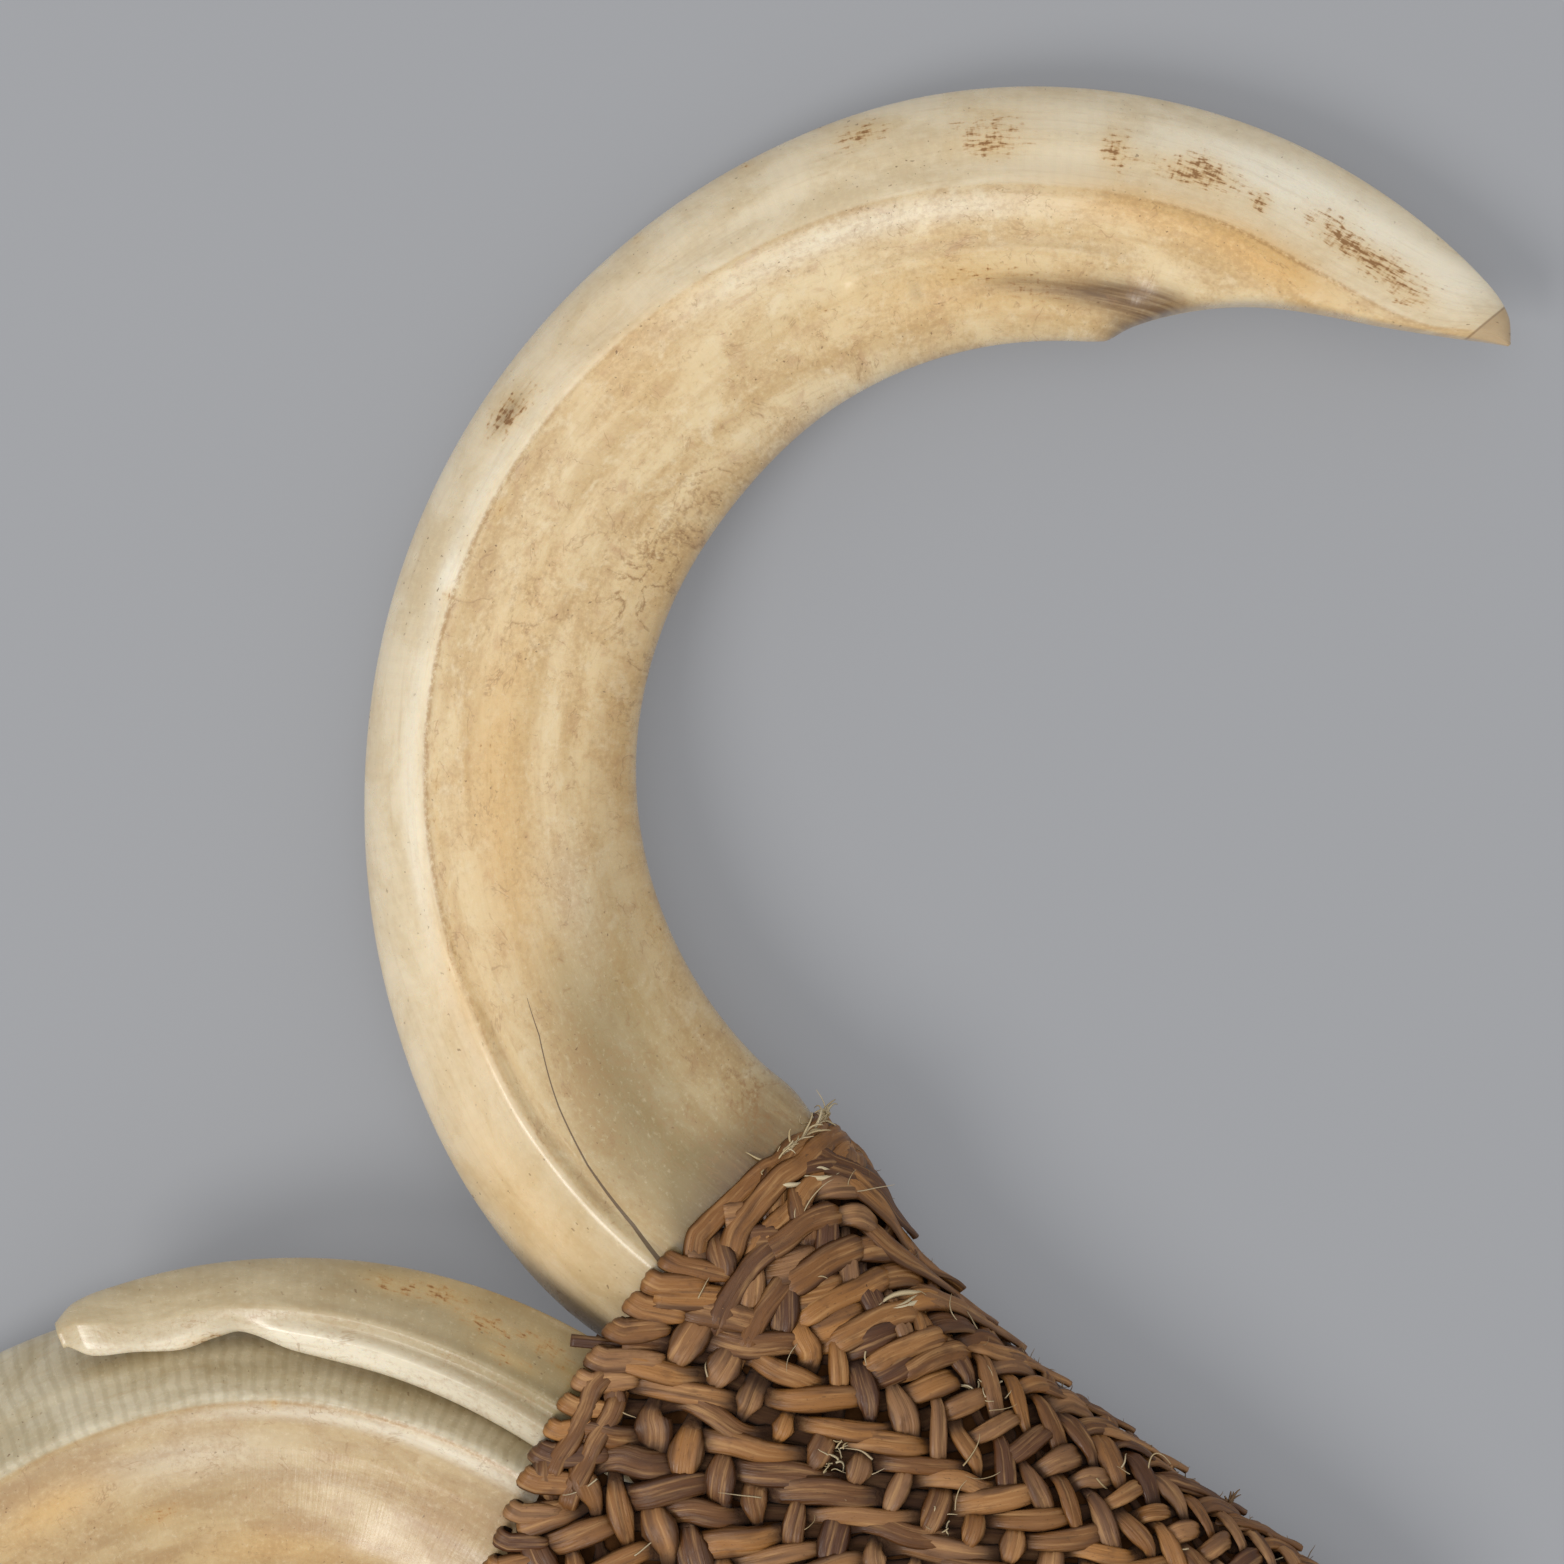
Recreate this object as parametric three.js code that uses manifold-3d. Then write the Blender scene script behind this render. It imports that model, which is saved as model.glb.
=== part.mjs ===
// Boar tusk ornament: three boar tusks whose roots are held in one plaited cane binding.
// It lies flat, seen from above: X runs to the right, Y up the picture, Z up from the table. Millimetres.
import * as THREE from "three";
import { mergeVertices } from "three/addons/utils/BufferGeometryUtils.js";
import Module from "manifold-3d";

// The plan below is drawn about the middle of the view. This shift puts the middle of the whole
// ornament at the origin.
const PLAN_SHIFT = [17.63, 42.68];

// Fitting and mesh fineness
const POCKET_GAP = 0.35; // between a tusk and the pocket that holds it
const TOP_STEPS = 12; // points across a tusk's upper side
const UNDER_STEPS = 9; // points across its underside
const STATION_DEG = 6; // turn of the spiral between a tusk's sections

// A tusk is a spiral about `centre`. Each list gives a size in mm at angles in degrees about that
// centre. `outer` and `inner` are the radii of its two edges, `strip` the width of the enamel strip
// outside the long ridge, `thick` its thickness and `lift` the height of its underside.
const UPPER_TUSK = {
  centre: [18.1, 3.9],
  root: 258.5,
  tip: 37.4,
  notch: 75, // where the wear facet starts
  outer: [
    [37.4, 53.5], [39.5, 54.8], [43, 55.3], [60, 55.2], [78, 54.6], [96, 53.7], [114, 52.3],
    [132, 51.4], [150, 51.3], [168, 51.9], [186, 53.2], [204, 55.5], [222, 58.4], [234, 59.9],
    [243, 59.5], [251, 57], [258.5, 50.5],
  ],
  inner: [
    [37.4, 53.2], [42, 49.5], [48, 46], [60, 41.2], [66, 38.6], [72, 35.7], [74.4, 34.2],
    [75.2, 33.9], [78, 33.5], [90, 32.5], [114, 30.7], [138, 29.3], [162, 29.4], [186, 30.4],
    [210, 31.8], [234, 33.6], [241, 34.3], [248, 37.2], [254, 42], [258.5, 49],
  ],
  strip: [
    [37.4, 0.2], [44, 6.4], [54, 8.8], [66, 9], [90, 8.6], [126, 6.6], [160, 5.2], [186, 5.5],
    [216, 7.5], [240, 7.8], [258.5, 1],
  ],
  thick: [
    [37.4, 0.7], [41, 3.8], [50, 7], [70, 10.4], [110, 12.6], [160, 14], [200, 14.8], [240, 15.2],
    [252, 12.8], [258.5, 5],
  ],
  lift: [
    [37.4, 6.6], [50, 3.6], [70, 1.6], [95, 0.6], [125, 0], [175, 0], [205, 0.8], [240, 1.8],
    [252, 3.1], [258.5, 7],
  ],
};

const LOWER_TUSK = {
  centre: [-42.5, -93.7],
  root: 27,
  tip: 254.6,
  notch: 216,
  outer: [
    [27, 43], [33, 46.6], [42, 48.2], [60, 48.8], [76, 49.8], [90, 50.7], [110, 51.3], [130, 51.6],
    [150, 52], [180, 53.3], [210, 54.4], [235, 54], [248, 53], [254.6, 51.5],
  ],
  inner: [
    [27, 41], [31, 34], [37, 28], [46, 24.6], [60, 25.8], [90, 27.2], [120, 27.4], [150, 28.3],
    [180, 29.8], [200, 31], [215, 32], [217, 32.8], [225, 37], [235, 41.4], [246, 46.6],
    [254.6, 51.2],
  ],
  strip: [
    [27, 1], [40, 5.5], [60, 6.4], [90, 7.8], [120, 9], [160, 8.8], [200, 9], [235, 8.4],
    [248, 5], [254.6, 0.2],
  ],
  thick: [
    [27, 5], [34, 12], [46, 14.6], [90, 14.2], [130, 13.8], [180, 12.4], [220, 10], [240, 7],
    [250.5, 3.6], [254.6, 0.7],
  ],
  lift: [
    [27, 6.5], [34, 3], [46, 1.5], [70, 0.7], [100, 0], [160, 0], [190, 0.4], [220, 1.5],
    [240, 3.4], [254.6, 6.4],
  ],
};

const SMALL_TUSK = {
  centre: [-40, -90.8],
  root: 36,
  tip: 113.4,
  notch: 96,
  outer: [
    [36, 46], [40, 49], [50, 50.7], [62, 51.2], [80, 51.6], [96, 51.6], [106, 51.5], [111, 51.3],
    [113.4, 50.3],
  ],
  inner: [
    [36, 44.6], [40, 42], [50, 41], [62, 41.2], [80, 42.7], [90, 44], [95.5, 45.8], [98, 45.6],
    [102, 45.1], [107, 45.9], [111, 46.7], [113, 48.1],
  ],
  strip: [[36, 1], [50, 5.4], [70, 5.6], [96, 3.6], [106, 3.4], [113, 1]],
  thick: [[36, 2.6], [42, 6.4], [62, 7.6], [90, 6.6], [104, 5.2], [111, 4], [113, 2.4]],
  lift: [[36, 11.6], [42, 10.2], [62, 10.3], [90, 10.2], [104, 9.9], [113, 10.8]],
};

// Cross-section of a tusk: how full each side is, and where its edges lie in its thickness
const RIDGE_HEIGHT = 0.96; // of the half thickness
const NOSE_DROP = -0.04; // height of the inner edge from the middle, as a share of the thickness
const SHOULDER_DROP = -0.14; // the same for the outer edge
const WIDE_FACE = { flat: 2.7, round: 2.2 };
const STRIP_FACE = { flat: 1.35, round: 1.45 };
const WORN_FACE = { flat: 7, round: 4.5 }; // the blunt inner side along the wear facet
const UNDER_RIDGE = 0.62; // place of the underside's lowest line across the tusk
const UNDER_FACE = { flat: 2.3, round: 2 };
const FACET_FADE_DEG = 9; // turn over which the wear facet deepens

// The binding: its two long edges in plan, from the tusks' mouth to its tail
const BINDING_RIGHT = [
  [3.6, -27.4], [7.6, -31.9], [10, -37.2], [14.2, -42.1], [21.9, -48.6], [29.3, -54.1], [37.6, -60.2],
  [43.4, -64], [50.2, -69.6], [54.4, -76],
];
const BINDING_LEFT = [
  [-27.6, -77.6], [-18.4, -82.2], [-5.2, -86.6], [9.8, -90], [24.6, -92], [37.6, -92.2],
  [47.4, -89.2], [53, -83.8],
];
const MOUTH_BULGE = 5.4; // how far the middle of the mouth stands out towards the tusks
const BINDING_AXIS = [0.755, -0.656]; // its direction in plan, from mouth to tail
// Half its thickness, at shares of its length
const BINDING_THICK = [[0, 10.2], [0.3, 10.2], [0.6, 9.5], [0.85, 7.7], [0.95, 5.9], [1, 3.9]];
const BINDING_FULL = 2.5; // exponent of its oval section
const BASE_FLAT = 0.88; // its underside is flat below this share of the half thickness
const HOOPS = 28; // cane hoops from mouth to tail
const RUNNERS = 56; // cane strips that run along it, counted round
const RIB_RUNNERS = 4; // runners from one rib of the twill to the next
const FLOAT_HOOPS = 4; // hoops from one crossing of a rib to the next
const RIB_HEIGHT = 0.7; // relief of the ribs

const IVORY = { color: 0xd9c49c, roughness: 0.38, metalness: 0 };
const CANE = { color: 0x7a5532, roughness: 0.6, metalness: 0 };

const wasm = await Module();
wasm.setup();

const radians = THREE.MathUtils.degToRad;
const { lerp, clamp, smoothstep } = THREE.MathUtils;

// A smooth function through a list of [x, value] points.
function curveThrough(points) {
  const slope = (i) => {
    const a = points[Math.max(i - 1, 0)];
    const b = points[Math.min(i + 1, points.length - 1)];
    return (b[1] - a[1]) / (b[0] - a[0]);
  };
  return (x) => {
    let i = points.findIndex((p) => p[0] > x) - 1;
    if (i === -2) i = points.length - 2;
    i = clamp(i, 0, points.length - 2);
    const [x0, y0] = points[i];
    const [x1, y1] = points[i + 1];
    const h = x1 - x0;
    const t = clamp((x - x0) / h, 0, 1);
    const rise = y1 - y0;
    const bend0 = slope(i) * h - rise;
    const bend1 = rise - slope(i + 1) * h;
    return y0 + rise * t + t * (1 - t) * (bend0 * (1 - t) + bend1 * t);
  };
}

// Height of a face at share x of its width, from 1 at its top line to 0 at its edge.
const faceHeight = (x, { flat, round }) => Math.pow(Math.max(1 - Math.pow(x, flat), 0), 1 / round);

// One cross-section of a tusk, as a closed loop of points in space, grown outwards by `grow`.
function tuskSection(tusk, curves, deg, grow) {
  const outer = curves.outer(deg) + grow;
  const inner = curves.inner(deg) - grow;
  const width = outer - inner;
  const half = curves.thick(deg) / 2 + grow;
  const mid = Math.max(curves.lift(deg), 0) + curves.thick(deg) / 2;
  const ridge = 1 - (curves.strip(deg) + grow) / width;
  const forward = Math.sign(tusk.tip - tusk.root);
  const worn = smoothstep((deg - tusk.notch) * forward, 0, FACET_FADE_DEG);
  const wide = {
    flat: lerp(WIDE_FACE.flat, WORN_FACE.flat, worn),
    round: lerp(WIDE_FACE.round, WORN_FACE.round, worn),
  };
  const edgeHeight = (across) => mid + 2 * half * lerp(NOSE_DROP, SHOULDER_DROP, across);
  const upperHeight = (across) => {
    const share =
      across < ridge
        ? faceHeight((ridge - across) / ridge, wide)
        : faceHeight((across - ridge) / (1 - ridge), STRIP_FACE);
    return lerp(edgeHeight(across), mid + half * RIDGE_HEIGHT, share);
  };
  const underHeight = (across) => {
    const share =
      across < UNDER_RIDGE
        ? faceHeight((UNDER_RIDGE - across) / UNDER_RIDGE, wide)
        : faceHeight((across - UNDER_RIDGE) / (1 - UNDER_RIDGE), UNDER_FACE);
    return lerp(edgeHeight(across), mid - half, share);
  };
  const angle = radians(deg);
  const place = (across, height) => {
    const radius = inner + width * across;
    const x = tusk.centre[0] + radius * Math.cos(angle);
    const y = tusk.centre[1] + radius * Math.sin(angle);
    return new THREE.Vector3(x, y, height);
  };
  const even = (k, steps) => (1 - Math.cos((Math.PI * k) / steps)) / 2;
  const loop = [];
  for (let k = 0; k < TOP_STEPS; k++) {
    const across = even(k, TOP_STEPS);
    loop.push(place(across, upperHeight(across)));
  }
  for (let k = UNDER_STEPS; k > 0; k--) {
    const across = even(k, UNDER_STEPS);
    loop.push(place(across, underHeight(across)));
  }
  return loop;
}

// A closed mesh over a row of loops with the same number of points, ended by flat fans.
function skinOver(loops) {
  const count = loops[0].length;
  const centreOf = (loop) =>
    loop.reduce((sum, p) => sum.add(p), new THREE.Vector3()).divideScalar(loop.length);
  const points = [...loops.flat(), centreOf(loops[0]), centreOf(loops.at(-1))];
  const first = loops.length * count;
  const faces = [];
  for (let row = 0; row + 1 < loops.length; row++)
    for (let k = 0; k < count; k++) {
      const next = (k + 1) % count;
      const [a, b] = [row * count + k, row * count + next];
      faces.push(a, b, a + count, b, b + count, a + count);
    }
  for (let k = 0; k < count; k++) {
    const next = (k + 1) % count;
    const last = (loops.length - 1) * count;
    faces.push(first, next, k);
    faces.push(first + 1, last + k, last + next);
  }
  const geometry = new THREE.BufferGeometry();
  geometry.setFromPoints(points);
  geometry.setIndex(faces);
  return geometry;
}

function toSolid(geometry) {
  const bare = new THREE.BufferGeometry();
  bare.setAttribute("position", geometry.getAttribute("position"));
  bare.setIndex(geometry.index);
  const merged = mergeVertices(bare, 1e-4);
  const solid = (triVerts) =>
    new wasm.Manifold(
      new wasm.Mesh({ numProp: 3, vertProperties: merged.attributes.position.array, triVerts }),
    );
  const made = solid(new Uint32Array(merged.index.array));
  if (made.volume() > 0) return made;
  return solid(new Uint32Array(merged.index.array).reverse());
}

function toGeometry(solid) {
  const { vertProperties, triVerts } = solid.getMesh();
  const geometry = new THREE.BufferGeometry();
  geometry.setAttribute("position", new THREE.BufferAttribute(vertProperties, 3));
  geometry.setIndex(new THREE.BufferAttribute(triVerts, 1));
  geometry.computeVertexNormals();
  return geometry;
}

function tuskSolid(tusk, grow = 0) {
  const curves = {};
  for (const name of ["outer", "inner", "strip", "thick", "lift"])
    curves[name] = curveThrough(tusk[name]);
  const turn = tusk.tip - tusk.root;
  const steps = Math.round(Math.abs(turn) / STATION_DEG);
  const stations = [];
  for (let k = 0; k <= steps; k++) stations.push(tusk.root + (turn * k) / steps);
  // Extra sections keep the rounded root, the corner of the wear facet and the tip sharp.
  const forward = Math.sign(turn);
  stations.push(tusk.root + 1.2 * forward, tusk.tip - 1.5 * forward, tusk.tip - 3.5 * forward);
  stations.push(tusk.notch - 0.2 * forward, tusk.notch + 0.7 * forward);
  stations.sort((a, b) => (a - b) * forward);
  const spread = stations.filter((deg, k) => k === 0 || Math.abs(deg - stations[k - 1]) > 0.4);
  return toSolid(skinOver(spread.map((deg) => tuskSection(tusk, curves, deg, grow))));
}

// A point in plan at share s along an edge that is given by a list of points.
function edgeCurve(points) {
  const curve = new THREE.SplineCurve(points.map((p) => new THREE.Vector2(...p)));
  return (s) => curve.getPointAt(clamp(s, 0, 1));
}

// The binding's outline at share s from mouth to tail, as `count` points spaced evenly round it.
function bindingLoop(s, count, edges, thickness) {
  const right = edges.right(s);
  const left = edges.left(s);
  const half = thickness(s);
  const halfWidth = right.distanceTo(left) / 2;
  const power = 2 / BINDING_FULL;
  const oval = (turn) => {
    const [c, sn] = [Math.cos(turn), Math.sin(turn)];
    const across = Math.sign(c) * Math.pow(Math.abs(c), power);
    const up = Math.sign(sn) * Math.pow(Math.abs(sn), power);
    return [across, up];
  };
  const fine = 720;
  const lengths = [0];
  for (let k = 1; k <= fine; k++) {
    const [a0, u0] = oval((2 * Math.PI * (k - 1)) / fine);
    const [a1, u1] = oval((2 * Math.PI * k) / fine);
    lengths.push(lengths[k - 1] + Math.hypot((a1 - a0) * halfWidth, (u1 - u0) * half));
  }
  const loop = [];
  let k = 0;
  for (let j = 0; j < count; j++) {
    const wanted = (lengths[fine] * j) / count;
    while (lengths[k + 1] < wanted) k++;
    const part = (wanted - lengths[k]) / (lengths[k + 1] - lengths[k]);
    const [across, up] = oval((2 * Math.PI * (k + part)) / fine);
    const row = Math.round(s * HOOPS);
    const rib = Math.floor(j / RIB_RUNNERS);
    const onRib = j % RIB_RUNNERS < RIB_RUNNERS / 2;
    const crossed = (row + 2 * (rib % 2)) % FLOAT_HOOPS === 0;
    const relief = onRib && !crossed ? RIB_HEIGHT : 0;
    const middle = left.clone().lerp(right, 0.5 + across / 2);
    const bulge = MOUTH_BULGE * (1 - across * across) * Math.pow(1 - s, 2);
    const x = middle.x - BINDING_AXIS[0] * bulge;
    const y = middle.y - BINDING_AXIS[1] * bulge;
    const z = half * BASE_FLAT + (half - RIB_HEIGHT + relief) * up;
    loop.push(new THREE.Vector3(x, y, Math.max(z, 0)));
  }
  return loop;
}

function bindingSolid() {
  const edges = { right: edgeCurve(BINDING_RIGHT), left: edgeCurve(BINDING_LEFT) };
  const thickness = curveThrough(BINDING_THICK);
  const loops = [];
  for (let row = 0; row <= HOOPS; row++)
    loops.push(bindingLoop(row / HOOPS, RUNNERS, edges, thickness));
  return toSolid(skinOver(loops));
}

function addPiece(group, name, solid, look) {
  const mesh = new THREE.Mesh(toGeometry(solid), new THREE.MeshStandardMaterial(look));
  mesh.name = name;
  group.add(mesh);
}

const tusks = { upper_tusk: UPPER_TUSK, lower_tusk: LOWER_TUSK, small_tusk: SMALL_TUSK };
const ornament = new THREE.Group();
let binding = bindingSolid();
for (const [name, tusk] of Object.entries(tusks)) {
  let solid = tuskSolid(tusk);
  if (tusk === SMALL_TUSK) solid = solid.subtract(tuskSolid(LOWER_TUSK, POCKET_GAP));
  addPiece(ornament, name, solid, IVORY);
  binding = binding.subtract(tuskSolid(tusk, POCKET_GAP));
}
addPiece(ornament, "plaited_binding", binding, CANE);
ornament.position.set(...PLAN_SHIFT, 0);

export default ornament;
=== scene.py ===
"""Boar tusk ornament: three boar tusks whose roots are held in one plaited cane binding.

Lengths are millimetres until a mesh is made. The plan is drawn about the middle of the photograph's
frame, and PLAN_SHIFT moves it to the model's origin. The angle and radius about a tusk's centre, and
the distance from its long ridge, say where a mark lies on it.
"""

import math

import bpy
import numpy as np
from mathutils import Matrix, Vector


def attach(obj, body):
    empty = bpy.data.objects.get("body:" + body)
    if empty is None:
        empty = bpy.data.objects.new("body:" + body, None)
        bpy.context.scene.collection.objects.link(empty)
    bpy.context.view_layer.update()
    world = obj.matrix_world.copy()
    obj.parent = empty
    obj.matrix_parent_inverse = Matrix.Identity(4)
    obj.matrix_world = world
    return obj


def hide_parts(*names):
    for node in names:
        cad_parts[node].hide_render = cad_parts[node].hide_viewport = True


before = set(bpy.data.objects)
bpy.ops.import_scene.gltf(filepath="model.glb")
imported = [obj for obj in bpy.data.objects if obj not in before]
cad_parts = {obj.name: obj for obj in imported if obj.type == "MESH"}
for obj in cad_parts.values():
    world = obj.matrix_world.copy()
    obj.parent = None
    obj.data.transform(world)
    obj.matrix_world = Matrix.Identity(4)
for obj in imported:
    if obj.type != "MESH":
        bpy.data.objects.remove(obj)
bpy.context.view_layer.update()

MM = 0.001
PLAN_SHIFT = np.array([17.63, 42.68])

# View and light
VIEW_WIDTH = 129.8  # what the frame covers at the height of the tusks' edges
VIEW_HEIGHT = 8.0
CAMERA_DISTANCE = 600.0
SENSOR = 36.0
FLOOR_GLOW = (100, 101, 104)  # the floor is lit from below too, so shadows on it stay faint

LIGHTS = {  # place, size, watts, colour
    "key": ((-800, -600, 1100), 700, 11.0, (1.0, 0.985, 0.96)),
    "fill": ((0, 300, 1500), 1200, 2.8, (0.97, 0.985, 1.0)),
}
ROOM_COLOUR = (0.97, 0.98, 1.0, 1)
ROOM_STRENGTH = 0.64
FLOOR_HALF = 4000.0

# How finely the tusks are meshed
TOP_STEPS = 84
UNDER_STEPS = 40
STATION_MM = 0.36
END_GATHER = 0.056  # how much the sections gather towards both ends
TUSK_HALF_WIDTH = 8.0  # from the outer edge in to the line that lengths are measured along
SURFACE_SWAY = 0.05  # how far the surface wanders from its section

# Each tusk's sizes, as in the CAD source: mm at degrees about its centre.
UPPER_TUSK = {
    "centre": (18.1, 3.9),
    "root": 258.5,
    "tip": 37.4,
    "notch": 75.0,
    "outer": [
        (37.4, 53.5), (39.5, 54.8), (43, 55.3), (60, 55.2), (78, 54.6), (96, 53.7), (114, 52.3),
        (132, 51.4), (150, 51.3), (168, 51.9), (186, 53.2), (204, 55.5), (222, 58.4), (234, 59.9),
        (243, 59.5), (251, 57), (258.5, 50.5),
    ],
    "inner": [
        (37.4, 53.2), (42, 49.5), (48, 46), (60, 41.2), (66, 38.6), (72, 35.7), (74.4, 34.2),
        (75.2, 33.9), (78, 33.5), (90, 32.5), (114, 30.7), (138, 29.3), (162, 29.4), (186, 30.4),
        (210, 31.8), (234, 33.6), (241, 34.3), (248, 37.2), (254, 42), (258.5, 49),
    ],
    "strip": [
        (37.4, 0.2), (44, 6.4), (54, 8.8), (66, 9), (90, 8.6), (126, 6.6), (160, 5.2), (186, 5.5),
        (216, 7.5), (240, 7.8), (258.5, 1),
    ],
    "thick": [
        (37.4, 0.7), (41, 3.8), (50, 7), (70, 10.4), (110, 12.6), (160, 14), (200, 14.8),
        (240, 15.2), (252, 12.8), (258.5, 5),
    ],
    "lift": [
        (37.4, 6.6), (50, 3.6), (70, 1.6), (95, 0.6), (125, 0), (175, 0), (205, 0.8), (240, 1.8),
        (252, 3.1), (258.5, 7),
    ],
}

LOWER_TUSK = {
    "centre": (-42.5, -93.7),
    "root": 27.0,
    "tip": 254.6,
    "notch": 216.0,
    "outer": [
        (27, 43), (33, 46.6), (42, 48.2), (60, 48.8), (76, 49.8), (90, 50.7), (110, 51.3),
        (130, 51.6), (150, 52), (180, 53.3), (210, 54.4), (235, 54), (248, 53), (254.6, 51.5),
    ],
    "inner": [
        (27, 41), (31, 34), (37, 28), (46, 24.6), (60, 25.8), (90, 27.2), (120, 27.4),
        (150, 28.3), (180, 29.8), (200, 31), (215, 32), (217, 32.8), (225, 37), (235, 41.4),
        (246, 46.6), (254.6, 51.2),
    ],
    "strip": [
        (27, 1), (40, 5.5), (60, 6.4), (90, 7.8), (120, 9), (160, 8.8), (200, 9), (235, 8.4),
        (248, 5), (254.6, 0.2),
    ],
    "thick": [
        (27, 5), (34, 12), (46, 14.6), (90, 14.2), (130, 13.8), (180, 12.4), (220, 10), (240, 7),
        (250.5, 3.6), (254.6, 0.7),
    ],
    "lift": [
        (27, 6.5), (34, 3), (46, 1.5), (70, 0.7), (100, 0), (160, 0), (190, 0.4), (220, 1.5),
        (240, 3.4), (254.6, 6.4),
    ],
}

SMALL_TUSK = {
    "centre": (-40.0, -90.8),
    "root": 36.0,
    "tip": 113.4,
    "notch": 96.0,
    "outer": [
        (36, 46), (40, 49), (50, 50.7), (62, 51.2), (80, 51.6), (96, 51.6), (106, 51.5),
        (111, 51.3), (113.4, 50.3),
    ],
    "inner": [
        (36, 44.6), (40, 42), (50, 41), (62, 41.2), (80, 42.7), (90, 44), (95.5, 45.8),
        (98, 45.6), (102, 45.1), (107, 45.9), (111, 46.7), (113, 48.1),
    ],
    "strip": [(36, 1), (50, 5.4), (70, 5.6), (96, 3.6), (106, 3.4), (113, 1)],
    "thick": [(36, 2.6), (42, 6.4), (62, 7.6), (90, 6.6), (104, 5.2), (111, 4), (113, 2.4)],
    "lift": [(36, 11.6), (42, 10.2), (62, 10.3), (90, 10.2), (104, 9.9), (113, 10.8)],
}

# Cross-section of a tusk, as in the CAD source
RIDGE_HEIGHT = 0.96
NOSE_DROP = -0.04
SHOULDER_DROP = -0.14
WIDE_FACE = (2.7, 2.2)
STRIP_FACE = (1.35, 1.45)
WORN_FACE = (7.0, 4.5)
UNDER_RIDGE = 0.62
UNDER_FACE = (2.3, 2.0)
FACET_FADE_DEG = 9.0

# Long ribs (height above 0) and furrows (below 0) on a tusk's upper side:
# from degree, to degree, distance from the ridge at each, half width, height.
UPPER_RELIEF = [
    (268, 192, -0.45, -0.3, 1.05, 0.6),
    (266, 200, 1.3, 1.0, 0.4, -0.26),
    (262, 205, -3.4, -3.0, 1.3, -0.26),
    (208, 118, 0.45, 0.45, 0.26, -0.14),
    (205, 126, -0.7, -0.6, 0.6, 0.2),
    (140, 60, -2.1, -2.3, 1.3, -0.34),
    (128, 50, 0.9, 1.0, 0.7, 0.26),
    (100, 44, 2.6, 1.6, 1.7, 0.4),
    (110, 70, 5.9, 5.4, 0.7, 0.45),
    (102, 68, 8.0, 8.0, 1.0, -0.55),
    (250, 150, 9.5, 8.5, 2.6, -0.22),
    (215, 110, 13.5, 12.5, 1.6, 0.14),
    (170, 100, 6.2, 7.4, 0.8, -0.1),
]
LOWER_RELIEF = [
    (20, 215, 0.5, 0.5, 0.3, -0.22),
    (20, 215, -0.6, -0.6, 0.6, 0.26),
    (20, 200, -2.9, -3.4, 0.7, -0.26),
    (30, 215, 3.4, 3.8, 0.5, 0.12),
    (30, 215, 9.0, 9.5, 2.4, -0.1),
]
SMALL_RELIEF = [
    (30, 100, -0.3, -0.3, 0.55, 0.26),
    (30, 98, 0.9, 0.8, 0.35, -0.22),
    (30, 104, 2.3, 1.9, 0.6, 0.4),
]

# The crack: degree, distance inside the ridge, half width
UPPER_CRACK = [
    (209, 4.6, 0.02), (213, 4.3, 0.05), (220, 2.9, 0.06), (226, 1.9, 0.08), (233, 1.2, 0.16),
    (238, 0.2, 0.22),
]

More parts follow.
